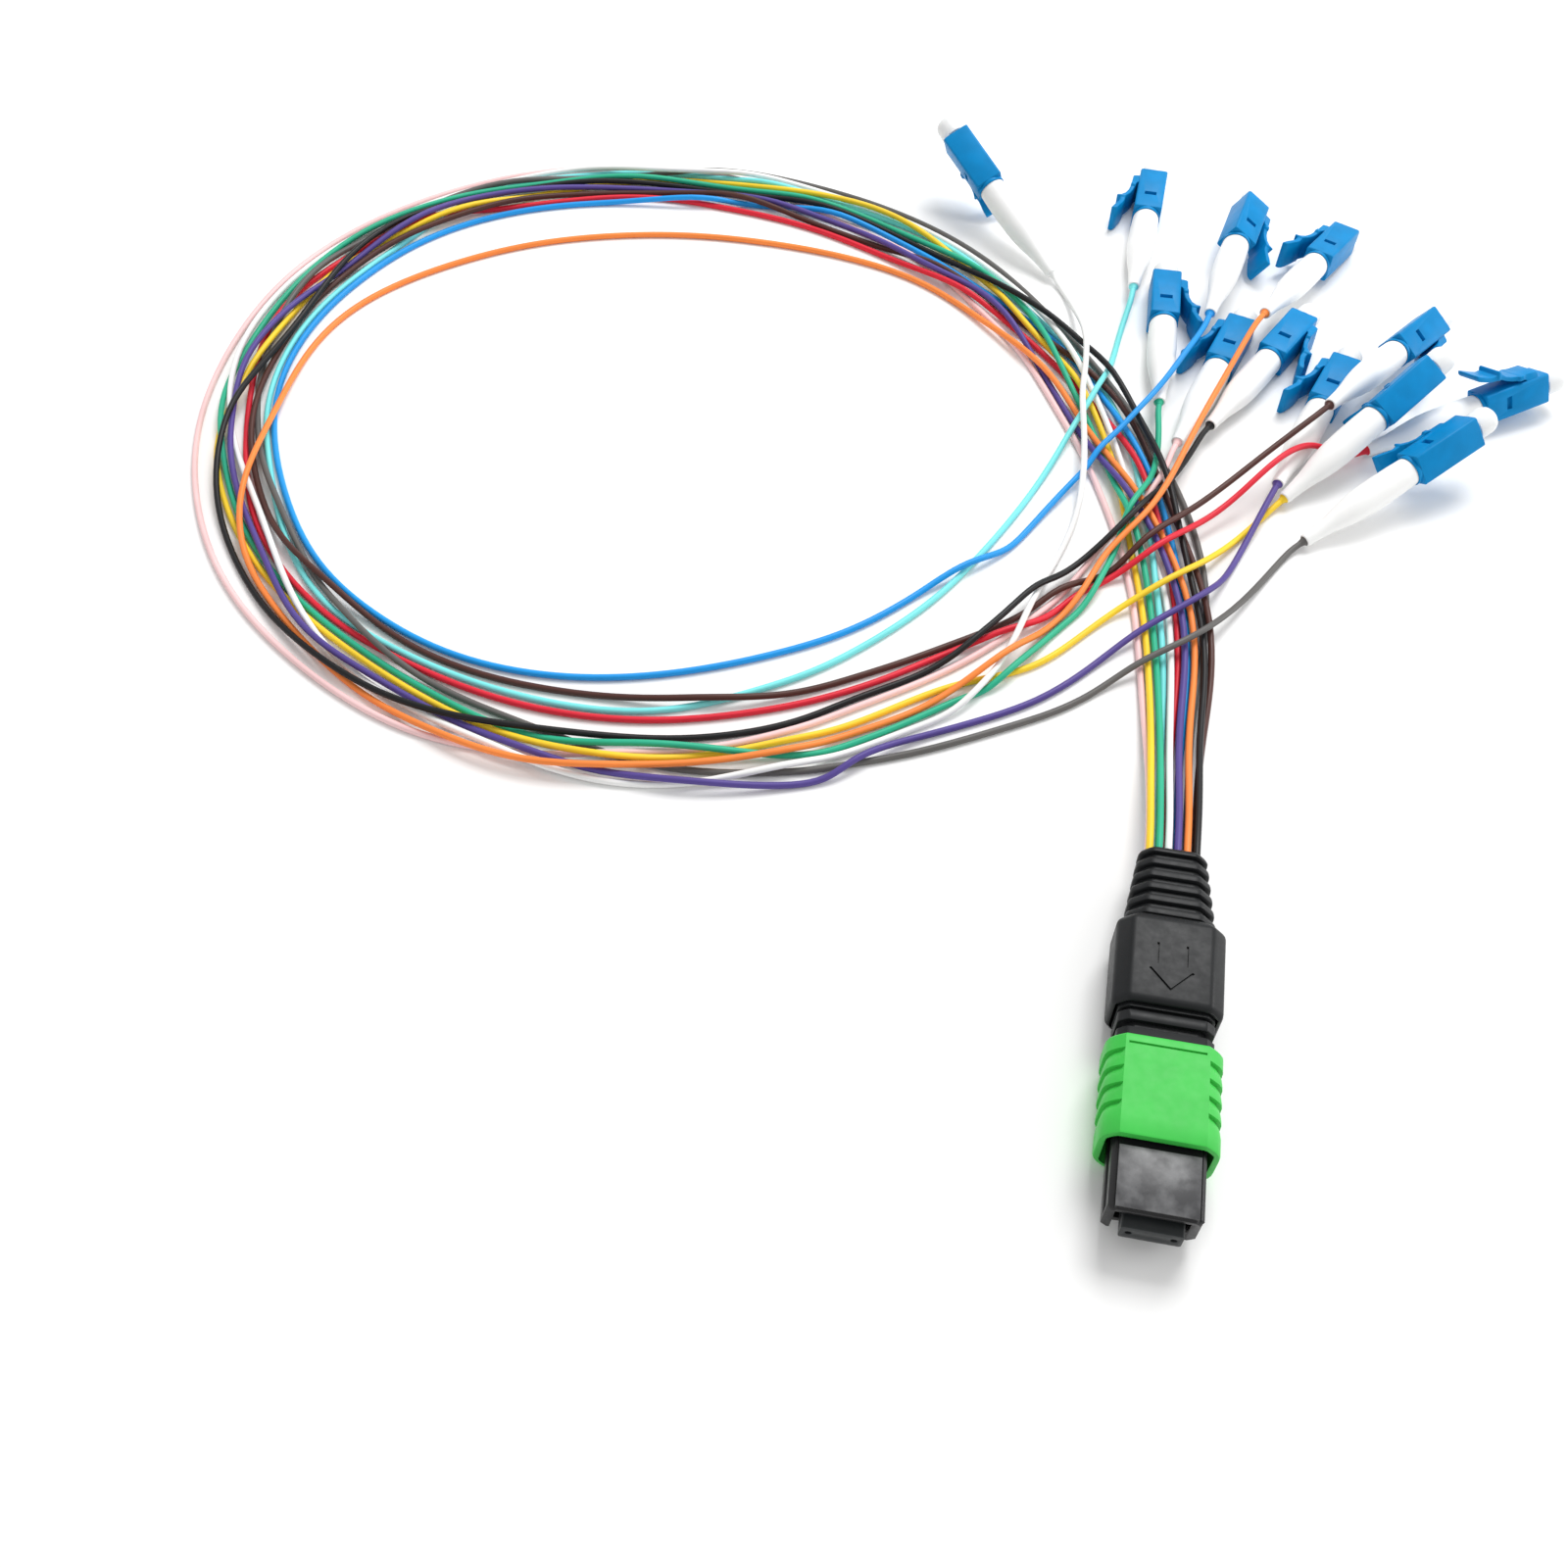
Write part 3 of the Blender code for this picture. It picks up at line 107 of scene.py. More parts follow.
# Lanes of the strands in the plug's boot. They lie on each other in this order, lowest first
LOWER_LANES = ("rose", "aqua", "red", "blue", "slate", "brown")
UPPER_LANES = ("yellow", "green", "white", "violet", "orange", "black")
STRANDS = LOWER_LANES + UPPER_LANES
TRUNK_EXIT = ((12.0, 2.6), (24.0, 0.7))
TRUNK_SPREAD = 1.1
STRAIGHT_END = 4.0 * MM

# The loop: radius of each strand at stations one step apart, in degrees and millimetres, and the
# legs to the connectors with x, y and, where it is not 0, height
LOOP_CENTRE = (-12.0, 193.0)
LOOP_START = -30
LOOP_STEP = 15
LOOP_RADII = {
    "yellow": (73.6, 65, 61.3, 59.3, 57.1, 58.9, 61.2, 59.5, 61.8, 62.9, 63.8, 66.2, 68, 66.4, 66.3,
        64.9, 64.1, 62.7, 62.8, 62.5, 63.2, 61.4),
    "rose": (73.6, 63, 57.4, 55.2, 55.1, 55, 55.9, 59.8, 63.8, 68.3, 71.3, 73.4, 74, 72.6, 71.8,
        70.4, 69.5, 67.7, 65.3, 63.9, 62.3, 59.9),
    "green": (75.1, 65.5, 60.4, 59, 58.2, 58.2, 59.3, 57.9, 60.9, 65.3, 66.3, 68.6, 70.5, 69.1,
        66.3, 64.4, 62.1, 60.2, 60.3, 62.3, 63.1, 63.9),
    "aqua": (75.6, 67.5, 63.9, 60.7, 59.6, 59.5, 59.9, 59.7, 62.6, 65.8, 66.8, 66.4, 66, 64.1, 62.8,
        60.9, 59.6, 58.2, 56.8, 55.4, 54.4, 52.4),
    "white": (76.6, 67, 62.7, 61, 60.2, 61, 61.4, 61.9, 61.4, 66.2, 70.3, 71.9, 72.5, 68.3, 65.3,
        62.3, 61.8, 63.1, 63.4, 65.3, 65.9, 66.2),
    "red": (77.6, 69, 61.2, 58.2, 55.4, 54.2, 53.4, 55.8, 58.3, 60.8, 63.7, 66.9, 69.5, 67.6, 65.3,
        62.9, 60.6, 59.7, 58.3, 56.9, 56.4, 55.9),
    "violet": (78.3, 67, 58.8, 56.7, 56.1, 53.7, 54.8, 55.7, 59.6, 61.9, 64.2, 66.1, 67.4, 67.5,
        65.2, 63.8, 62.6, 63, 62.6, 64.1, 65.7, 67.2),
    "blue": (78.6, 70, 63, 60.7, 58.6, 57.5, 55.2, 57.7, 57.2, 58.6, 61.8, 64.4, 64.5, 63.2, 61.8,
        60.4, 59.1, 55.7, 53.3, 50.9, 48.4, 46.9),
    "orange": (79.3, 68.5, 61.1, 56.1, 53, 50.5, 47.9, 46.4, 46.8, 48.3, 51.4, 54.9, 59.5, 61.6,
        62.3, 63.2, 64.2, 64.7, 64.7, 64.6, 64.5, 63.9),
    "slate": (80.6, 73.5, 67.3, 64.2, 62.1, 62, 63.4, 63.7, 62.4, 63.4, 67.3, 70.4, 69.8, 66.9,
        63.8, 59.8, 58.6, 58.7, 58.9, 60.3, 63.9, 66.8),
    "brown": (81.2, 71.5, 65.3, 60.1, 56.6, 54.3, 53.9, 55.4, 58.3, 61.8, 64.2, 65.8, 68, 65.6,
        63.4, 61.4, 59.8, 57.3, 54.8, 53.4, 53.6, 53.7),
    "black": (81.7, 71.9, 65.2, 61.1, 57.4, 57.4, 57.3, 57.8, 60.4, 61.7, 64.9, 66.9, 66.2, 65.7,
        65.6, 65.3, 65.1, 64.1, 64.5, 63.5, 60.4, 58.9),
}
LEGS = {
    "blue": ((10.5, 151.1), (18.9, 156.6), (24.8, 159.9), (32.3, 166.5), (35.9, 169), (43, 178, 1),
        (48.4, 184, 1.5), (52.2, 188.3, 2.2), (59, 197, 4.4), (63.5, 203.5, 5.8)),
    "aqua": ((8, 145.1), (16, 151.1), (24.9, 159.6), (33.4, 170), (38.4, 178), (45.7, 189.4),
        (48.7, 195.9), (52.6, 205.4), (56.3, 215.7)),
    "brown": ((13, 144.1), (20.9, 147.1), (28.4, 150.1), (35.9, 154.4), (42.2, 158.7),
        (50.2, 163.9), (56.7, 169.7, 2.5), (64, 175.4, 3.5), (72.9, 182.9, 5)),
    "red": ((10.5, 141.1), (17.9, 144.1), (26.4, 147.6), (36.2, 152.7), (41.4, 157.6),
        (46.8, 161.4), (52.8, 163.7), (58.9, 169.4), (68, 175.7, 3.7), (74.2, 181.3, 5.9),
        (79.8, 185.4, 4.2)),
    "black": ((10, 139.1), (17.9, 143.1), (28.2, 149), (35.5, 154.3), (40.6, 159.8), (47.2, 166.3),
        (54.5, 175.7)),
    "rose": ((10, 137.6), (17.9, 141.6), (28.9, 148.1), (38.9, 156.6), (45.8, 162.8),
        (52.6, 171.8)),
    "orange": ((10, 133.1), (20.4, 138.1), (29.6, 145), (36.2, 151.6), (40.2, 156.8), (46.9, 163.5),
        (52.2, 170.6, 2.5), (60.5, 184, 4.5), (68.5, 197.5, 5.4)),
    "yellow": ((10, 135.1), (20.4, 139.6), (29.9, 144.1), (36.9, 147.1), (45.9, 153.5),
        (51.9, 156.7), (58.6, 161.6)),
    "green": ((10, 132.1), (17.9, 135.6), (25.9, 139.6), (29.3, 142.1), (36.8, 148.7),
        (40.9, 153.6), (44.2, 157.4), (49.1, 165.7), (52, 172.1), (54.6, 178.1)),
    "white": ((10, 130.6), (20.4, 136.1), (25.8, 139), (32.2, 146.5), (38.2, 157.6), (43.4, 169.5),
        (46.8, 181.5), (48.3, 189.7), (48.4, 197.6), (47.5, 205.6)),
    "violet": ((9.9, 128.3), (17.5, 132.1), (29.9, 137.1), (37.4, 140.6), (45.3, 147), (52.8, 152),
        (59.1, 156.6), (65.4, 164.6)),
    "slate": ((10, 128.6), (19.9, 131.6), (29.4, 134.6), (37.4, 137.6), (44.3, 141.5),
        (51.8, 145.4), (58.3, 150.2)),
}

# How the strands settle onto the table and each other
HELD_END = 5.0 * MM
LIFT_LENGTH = 30.0 * MM
LIFT_START = 20.0
LAYER = 0.7 * MM
SINK_STEP = 0.15 * MM
LAST_SINK_STEP = 0.05 * MM
LEVELLING = 0.3
LEVELLED_FROM = 30.0 * MM
STIFFNESS = 0.05
STACKING = (0.4, 0.4, 1.0)
CONTACT_SHARING = 0.6
SINKING_ROUNDS = 140
SETTLING_ROUNDS = 280
RESTING_ROUNDS = 40
PUSHES_A_ROUND = 3
SEARCH_EVERY = 10
SEARCH_BLOCK = 200
SEARCH_MARGIN = 1.5 * MM
NEIGHBOURS = 12
SPAN_STEPS = 4

# Looks of the strands, and the ring at each boot's tip: (y, radius)
STRAND_SMOOTHING = 2
RING_PROFILE = (
    (-0.72, 0.405), (-0.72, 0.468), (-0.225, 0.5625), (-0.02, 0.75), (0.12, 0.72), (0.12, 0.405),
)
STRAND_LOOKS = {
    "blue": (0.010, 0.300, 0.760), "orange": (0.930, 0.250, 0.050), "green": (0.025, 0.430, 0.250),
    "brown": (0.075, 0.026, 0.020), "slate": (0.120, 0.115, 0.110), "white": (0.880, 0.880, 0.870),
    "red": (0.700, 0.018, 0.040), "black": (0.008, 0.008, 0.009), "yellow": (0.920, 0.620, 0.030),
    "violet": (0.090, 0.060, 0.270), "rose": (0.900, 0.600, 0.600), "aqua": (0.200, 0.760, 0.760),
}

# Looks of the single-fibre connector. Latch: distance behind the front face, height of its outer
# face over the body, thickness and width. Profiles: distance along the axis, and radius
BODY_CORNER = 0.35 * MM
BODY_CHAMFER = 0.12 * MM
BODY_BEVEL = 0.05 * MM
WINDOW = (0.85 * MM, 1.9 * MM, 0.55 * MM)
WINDOW_FROM_REAR = 3.4 * MM
FRONT_BORE = (2.8 * MM, 2.6 * MM)
BORE_CHAMFER = 0.15 * MM
SPIGOT = (2.6 * MM, 3.0 * MM)
LATCH_CORNERS = (0.16 * MM, 0.1 * MM)
THICK_LATCH = 0.5
LATCH = (
    (1.60, 0.10, 0.70, 3.70), (1.90, 0.85, 1.50, 3.90), (2.10, 1.05, 1.60, 4.00),
    (3.30, 1.10, 1.60, 4.00), (3.80, 1.12, 0.95, 4.00), (4.20, 1.14, 0.80, 4.20),
    (4.45, 1.16, 0.78, 4.60), (5.00, 1.20, 0.78, 4.60), (5.25, 1.24, 0.76, 4.00),
    (6.10, 1.42, 0.74, 3.80), (7.10, 1.85, 0.76, 3.80), (7.90, 2.55, 0.95, 4.00),
    (8.15, 2.95, 1.30, 4.20), (8.35, 3.10, 1.45, 4.40), (8.55, 3.02, 1.30, 4.40),
    (8.75, 2.55, 0.85, 4.10), (9.50, 2.52, 0.78, 4.00), (10.4, 2.85, 0.80, 4.20),
    (11.2, 3.20, 0.84, 4.40), (11.8, 3.46, 0.86, 4.40), (12.1, 3.58, 0.70, 4.40),
    (12.2, 3.54, 0.45, 4.20),
)
COLLAR = (0.55 * MM, 2.27 * MM, 2.14 * MM, 0.3 * MM)
COLLAR_ROOT = (0.6 * MM, 0.15 * MM)
COLLAR_STEP = 0.08 * MM
COLLAR_EDGE = (0.1 * MM, 0.05 * MM)
BOOT_PROFILE = (
    (0.00, 2.00), (0.10, 2.08), (0.35, 2.11), (2.50, 2.20), (5.50, 2.24), (8.00, 2.18),
    (9.60, 2.08), (11.3, 1.86), (12.9, 1.56), (14.3, 1.30), (15.7, 1.12), (17.1, 1.00),
    (18.2, 0.95), (18.42, 0.92), (18.50, 0.84),
)
CAP_PROFILE = (
    (0.0, 1.80), (0.05, 1.95), (0.18, 2.00), (2.10, 2.00), (2.60, 1.92), (3.05, 1.66),
    (3.36, 1.25), (3.50, 0.75),
)
CAP_WALL = 0.45 * MM
CAP_SHANK = (2.2 * MM, 2.2 * MM)
FERRULE_TIP = (0.625 * MM, 1.6 * MM, 0.25 * MM, 0.1 * MM)
TIP_BORE_GAP = 0.15 * MM

# Looks of the trunk plug, rear to front. Rings: width, height, cut of the corners, and reach of
# the rounding. Steps: distance along the axis, and how much narrower
PLUG_BOOT_LENGTH = 22.4 * MM
SOFT_EDGE = 0.3 * MM
GRIP_EDGE = 0.45 * MM
GRIP_SIZE = (12.2 * MM, 8.4 * MM, 1.6 * MM)
GRIP_REAR = ((-0.6, 1.5), (-0.4, 1.1), (0.1, 0.35), (0.4, 0.10), (0.7, 0.0))
GRIP_FRONT = ((0.9, 0.0), (0.45, 0.10), (0.15, 0.40), (0.0, 0.80))
GRIP_SOCKET = 5.6 * MM
RIBBED_LENGTH = 11.2 * MM
RIBBED_REAR = (7.9 * MM, 4.8 * MM)
RIBBED_FRONT = (10.6 * MM, 7.2 * MM)
RIB_COUNT = 6
RIB_DEPTH = 0.55 * MM
RIB_SHAPE = (
    (0.00, 1.00), (0.02, 0.40), (0.08, 0.10), (0.20, 0.00), (0.42, 0.00), (0.54, 0.10),
    (0.60, 0.40), (0.62, 1.00),
)
RIB_CUT = 0.28
REAR_ROUNDING = (1.1 * MM, 0.8 * MM)
STRAND_SLOT = (6.75 * MM, 2.35 * MM, 0.3 * MM, 0.3 * MM)
SLOT_DEPTH = 4.0 * MM
ENGRAVING = 0.22 * MM
ARROW_SETBACK = 1.6 * MM
ARROW_LINE = (1.6 * MM, 0.13 * MM, 6.1 * MM, 3.4 * MM)
ARROW_HEAD = (2.5 * MM, 2.7 * MM, 0.42 * MM)
BOOT_ANGLE = 40.0
NECK_LENGTH = 4.3 * MM
NECK = (10.5 * MM, 6.7 * MM, 1.0 * MM)
NECK_PLUG = (6.5 * MM, 3.0 * MM, 0.6 * MM, 0.3 * MM)
NECK_PLUG_LENGTH = 2.7 * MM
NECK_STEPS = (
    (0.35, 0.0), (0.40, 0.1), (0.40, 0.9), (0.80, 0.9), (0.80, 0.1), (0.86, 0.0), (1.95, 0.0),
    (2.02, 0.1), (2.02, 1.3), (2.90, 1.3), (2.90, 0.1), (2.97, 0.0),
)
SLEEVE_LENGTH = 11.9 * MM
SLEEVE_SIDE = (
    (4.45, 4.50), (5.05, 4.02), (5.65, 3.42), (6.05, 2.80), (6.25, 2.10), (6.30, 1.20),
)
SLEEVE_FLAT = 4.45 * MM
SLEEVE_REAR = ((0.0, 0.35), (0.12, 0.12), (0.35, 0.0))
SLEEVE_FRONT = ((0.3, 0.0), (0.08, 0.08), (0.0, 0.25))
SLEEVE_LINE = (1.05 * MM, 0.28 * MM, 4.1 * MM)
SLEEVE_ANGLE = 28.0
GRIP_START = 1.9 * MM
GRIP_PITCH = 2.05 * MM
GRIP_COUNT = 4
GROOVE = ((0.0, 0.0), (0.06, 0.48), (0.22, 0.46), (0.55, 0.24), (1.1, 0.07), (1.6, 0.0))
GROOVE_FADE = 0.6 * MM
GROOVE_LEAN = 0.35
SLEEVE_BORE = (11.1 * MM, 7.3 * MM, 1.0 * MM, 0.4 * MM)
HOUSING = (9.7 * MM, 6.2 * MM, 0.7 * MM)
HOUSING_FRONT = 46.3 * MM
HOUSING_IN_SLEEVE = 4.5 * MM
HOUSING_EASE = 0.5 * MM
HOUSING_BEVEL = 0.07 * MM
REAR_SOCKET = (7.1 * MM, 3.6 * MM, 0.6 * MM)
REAR_SOCKET_DEPTH = 3.0 * MM
KEY = (8.4 * MM, 0.28 * MM, 0.75 * MM)
KEY_GAP = 0.7 * MM
KEY_ROOT = 0.5 * MM
KEY_SETBACK = 0.25 * MM
KEY_GROOVE = (0.02 * MM, 0.25 * MM, 2.0 * MM)
CHANNEL = (0.7 * MM, 5.0 * MM, 1.0 * MM, 1.1 * MM)
OPENING = (7.7 * MM, 2.35 * MM, 4.0 * MM)
WALL_SETBACK = (0.7 * MM, 1.5 * MM)
FERRULE = (6.4 * MM, 2.5 * MM, 8.3 * MM)
FERRULE_PROTRUSION = 1.0 * MM
FERRULE_CORNER = (0.2 * MM, 0.12 * MM)
FERRULE_BEVEL = 0.06 * MM
GUIDE_HOLE = (0.35 * MM, 4.6 * MM, 2.0 * MM)
OVERRUN = 1.0 * MM
EDGE_ANGLE = 32.0
BEVEL_STEPS = 2
CORNER_STEPS = 3
CORNER_REACH = 0.45
MERGE_DISTANCE = 0.001 * MM

# Finishes: refraction, scale of the patches, where a pattern turns from one value to the other,
# change of the gloss, scale and height of each grain, then the heights over the housing across
# which the raised plate's painted sheen comes in, and the pattern of that painted sheen
PLASTIC_IOR = 1.47
PATCH = 350.0
STRAND_PATCH = 90.0
TONE_RANGE = (0.35, 0.65)
GLOSS_RANGE = (0.3, 0.7)
GLOSS_CHANGE = (-0.04, 0.05)
FINE_GRAIN = (9000.0, 0.002 * MM)
BOOT_GRAIN = (7000.0, 0.003 * MM)
HOUSING_GRAIN = (4000.0, 0.003 * MM)
STRAND_GRAIN = (5000.0, 0.0015 * MM)
PLATE_RISE = (0.10 * MM, 0.16 * MM)
MOTTLE = (420.0, 5.0)
MOTTLE_RANGE = (0.40, 0.66)
BOOT_SUBSURFACE = (0.15, 0.6 * MM)
CAP_TRANSMISSION = 0.16


# Meshes

def add_mesh(name, shape):
    """A new object from a bmesh, which is used up."""
    bmesh.ops.recalc_face_normals(shape, faces=shape.faces)
    mesh = bpy.data.meshes.new(name)
    shape.to_mesh(mesh)
    shape.free()
    made = bpy.data.objects.new(name, mesh)
    bpy.context.collection.objects.link(made)
    return made


def pushed(name, corners, way):
    """A flat face of corners, pushed along a way."""
    shape = bmesh.new()
    face = shape.faces.new([shape.verts.new(corner) for corner in corners])
    grown = bmesh.ops.extrude_face_region(shape, geom=[face])
    moved = [item for item in grown["geom"] if isinstance(item, bmesh.types.BMVert)]
    bmesh.ops.translate(shape, verts=moved, vec=way)
    return add_mesh(name, shape)


def prism(name, outline, start, end):
    """A closed outline in X and Z, pushed along Y from start to end."""
    return pushed(name, [(x, start, z) for x, z in outline], (0.0, end - start, 0.0))


def box(name, low, high):
    """A plain box between two corners."""
    outline = ((low[0], low[2]), (high[0], low[2]), (high[0], high[2]), (low[0], high[2]))
    return prism(name, outline, low[1], high[1])


def side_boxes(name, near, far, low, high):
    """A box on each side, from near to far across, between two corners in Y and Z."""
    boxes = []
    for side in (-1, 1):
        edges = sorted((side * near, side * far))
        boxes.append(box(f"{name}_{side}", (edges[0], *low), (edges[1], *high)))
    return boxes


def chamfered(width, height, cut):
    """A rectangle with its four corners cut off."""
    across = width / 2
    up = height / 2
    return ((across, -up + cut), (across, up - cut), (across - cut, up), (-across + cut, up),
            (-across, up - cut), (-across, -up + cut), (-across + cut, -up), (across - cut, -up))


def rounded(width, height, radius, steps):
    """A rectangle with round corners of so many steps."""
    points = []
    for quarter in range(4):
        side_x = 1 if quarter in (0, 3) else -1
        side_z = 1 if quarter in (0, 1) else -1
        for step in range(steps + 1):
            angle = math.radians(90) * (quarter + step / steps)
            points.append((side_x * (width / 2 - radius) + radius * math.cos(angle),
                           side_z * (height / 2 - radius) + radius * math.sin(angle)))
    return points


def loft(name, sections):
    """A closed body through outlines in X and Z that have as many points each: (y, outline)."""
    shape = bmesh.new()
    rings = []
    for y, outline in sections:
        rings.append([shape.verts.new((x, y, z)) for x, z in outline])
    for before, after in zip(rings, rings[1:]):
        for index in range(len(before)):
            following = (index + 1) % len(before)
            shape.faces.new((before[index], before[following], after[following], after[index]))
    shape.faces.new(rings[0])
    shape.faces.new(rings[-1])
    return add_mesh(name, shape)


def turned(name, profile, sides, closed=False):
    """A body turned about Y from a profile of (y, radius), closed or with its ends on the axis."""
    shape = bmesh.new()
    verts = [shape.verts.new((radius, y, 0.0)) for y, radius in profile]
    edges = [shape.edges.new(pair) for pair in zip(verts, verts[1:] + verts[:closed])]
    bmesh.ops.spin(shape, geom=verts + edges, cent=(0, 0, 0), axis=(0, 1, 0),
                   angle=math.tau, steps=sides, use_merge=True)
    bmesh.ops.remove_doubles(shape, verts=shape.verts, dist=MERGE_DISTANCE)
    return add_mesh(name, shape)


def cut_or_join(target, others, operation):
    """Boolean the others with the target and keep only the result, as the target's own mesh."""
    for other in others:
        modifier = target.modifiers.new(other.name, "BOOLEAN")
        modifier.operation = operation
        modifier.object = other
        modifier.solver = "EXACT"
    evaluated = target.evaluated_get(bpy.context.evaluated_depsgraph_get())
    result = bpy.data.meshes.new_from_object(evaluated)
    target.modifiers.clear()
    target.data = result
    for other in others:
        bpy.data.objects.remove(other)
    return target


# Places

def on_plan(x, y, height):
    """A point of the plan, in the model's metres."""
    return Vector(((x - PLAN_CENTRE.x) * MM, (y - PLAN_CENTRE.y) * MM, height))


def pose(x, y, height, heading, pitch=0.0, roll=0.0):
    """The place of a piece whose own +Y is its front."""
    turn = Matrix.Rotation(math.radians(heading - 90.0), 4, "Z")
    turn = turn @ Matrix.Rotation(math.radians(pitch), 4, "X")
    turn = turn @ Matrix.Rotation(math.radians(-roll), 4, "Y")
    return Matrix.Translation(on_plan(x, y, height)) @ turn


def connector_pose(colour):
    """Place of a connector, with its front face at its own origin."""
    x, y, lift, heading, pitch, roll = CONNECTORS[colour]
    tip = pose(x, y, LYING_HEIGHT + lift * MM, heading, pitch, roll)
    return tip @ Matrix.Translation((0.0, CONNECTOR_LENGTH, 0.0))


def plug_pose():
    """Place of the trunk plug, with its rear end at its own origin."""
    return pose(PLUG_REAR[0], PLUG_REAR[1], PLUG_AXIS_HEIGHT, PLUG_HEADING)


# Routes of the strands

def smooth_curve(controls, steps):
    """Cubic B-spline that starts and ends on the first and last point, with steps in each span."""
    controls = np.array(controls, dtype=float)
    before = 2 * controls[0] - controls[1]
    after = 2 * controls[-1] - controls[-2]
    padded = np.vstack([before, controls, after])
    t = (np.arange(steps) / steps)[:, None]
    weights = ((1 - t) ** 3 / 6, (3 * t ** 3 - 6 * t ** 2 + 4) / 6,
               (-3 * t ** 3 + 3 * t ** 2 + 3 * t + 1) / 6, t ** 3 / 6)
    spans = []
    for start in range(len(padded) - 3):
        spans.append(sum(weight * padded[start + index] for index, weight in enumerate(weights)))
    return np.vstack(spans + [controls[-1:]])


def trunk_points(colour):
    """From inside the trunk plug's boot out to the floor behind it."""
    upper = colour in UPPER_LANES
    lanes = UPPER_LANES if upper else LOWER_LANES
    # The plug's front points towards -Y, so its own +X side is the plan's left side
    across = ((len(lanes) - 1) / 2 - lanes.index(colour)) * LANE_PITCH
    up = LANE_PITCH / 2 if upper else -LANE_PITCH / 2
    place = plug_pose()
    points = [place @ Vector((across, y, up)) for y in (STRAND_ENTRY, 0.0, -STRAIGHT_END)]
    for distance, height in TRUNK_EXIT:
        point = place @ Vector((TRUNK_SPREAD * across, -distance * MM, 0.0))
        point.z = height * MM + (LANE_PITCH if upper else 0.0)
        points.append(point)
    return points


def loop_points(colour):
    """Round the loop. A B-spline runs inside its points on a curve, so they are moved out."""
    outward = 3 / (2 + math.cos(math.radians(LOOP_STEP)))
    points = []
    for index, radius in enumerate(LOOP_RADII[colour]):
        angle = math.radians(LOOP_START + LOOP_STEP * index)
        points.append(on_plan(LOOP_CENTRE[0] + outward * radius * math.cos(angle),
                              LOOP_CENTRE[1] + outward * radius * math.sin(angle), 0.0))
    return points


def leg_points(colour):
    """From the loop into the tip of the connector's boot."""
    points = [on_plan(x, y, sum(height) * MM) for x, y, *height in LEGS[colour]]
    place = connector_pose(colour)
    tip = -CONNECTOR_LENGTH
    ends = [place @ Vector((0.0, tip + step, 0.0)) for step in (-STRAIGHT_END, 0.0, STRAND_ENTRY)]
    return points + ends


def strand_route(colour):
    """Samples along a strand, with the least height of each, and where its leg begins."""
    start = trunk_points(colour) + loop_points(colour)
    controls = start + leg_points(colour)
    return smooth_curve([tuple(point) for point in controls], SPAN_STEPS), len(start) * SPAN_STEPS


def arc_lengths(route):
    steps = np.linalg.norm(np.diff(route[:, :2], axis=0), axis=1)
    return np.concatenate([[0.0], np.cumsum(steps)])


def eased_step(share):
    """From 0 to 1 with level ends."""
    share = np.clip(share, 0.0, 1.0)
    return share * share * (3 - 2 * share)


def strands_before_settling(colours):
    """Each strand in a layer of its own, its leg over all loops, and each point's way to an end."""
    routes = []
    from_ends = []
    for rank, colour in enumerate(colours):
        route, leg_start = strand_route(colour)
        distance = arc_lengths(route)
        from_end = np.minimum(distance, distance[-1] - distance)
        lift = np.full(len(route), rank * LAYER)
        leg = np.arange(len(route)) >= leg_start
        from_loop = route[:, 0] - (LOOP_CENTRE[0] + LIFT_START - PLAN_CENTRE.x) * MM
        lift += leg * len(colours) * LAYER * eased_step(from_loop / LIFT_LENGTH)
        start = route.copy()
        start[:, 2] += lift * eased_step((from_end - HELD_END) / LIFT_LENGTH)
        routes.append(start)
        from_ends.append(from_end)
    return routes, np.concatenate(from_ends)


def closest_points(points, first, second):
    """Shares along each pair of segments at their closest points, and the gap between these."""
    start_a = points[first]
    start_b = points[second]
    along_a = points[first + 1] - start_a
    along_b = points[second + 1] - start_b
    between = start_a - start_b
    aa = (along_a * along_a).sum(axis=1)
    bb = (along_b * along_b).sum(axis=1)
    ab = (along_a * along_b).sum(axis=1)
    ad = (along_a * between).sum(axis=1)
    bd = (along_b * between).sum(axis=1)
    spread = np.maximum(aa * bb - ab * ab, 1e-6 * aa * bb)
    share_a = np.clip((ab * bd - bb * ad) / spread, 0.0, 1.0)
    share_b = np.clip((ab * share_a + bd) / bb, 0.0, 1.0)
    share_a = np.clip((ab * share_b - ad) / aa, 0.0, 1.0)
    gap = between + share_a[:, None] * along_a - share_b[:, None] * along_b
    return share_a, share_b, gap


def near_pairs(points, segments, neighbours):
    """Pairs of segments that may meet soon, leaving out neighbours along one strand."""
    middles = (points[segments] + points[segments + 1]) / 2
    longest = np.linalg.norm(points[segments + 1] - points[segments], axis=1).max()
    reach = longest + LANE_PITCH + SEARCH_MARGIN
    first = []
    second = []
    for start in range(0, len(segments), SEARCH_BLOCK):
        block = middles[start:start + SEARCH_BLOCK]
        apart = np.abs(block[:, None, :2] - middles[None, start:, :2]).max(axis=2)
        row, column = np.nonzero(apart < reach)
        later = column >= row + neighbours
        first.append(segments[start + row[later]])
        second.append(segments[start + column[later]])
    first = np.concatenate(first)
    second = np.concatenate(second)
    gap = closest_points(points, first, second)[2]
    near = np.linalg.norm(gap, axis=1) < LANE_PITCH + SEARCH_MARGIN
    return first[near], second[near]


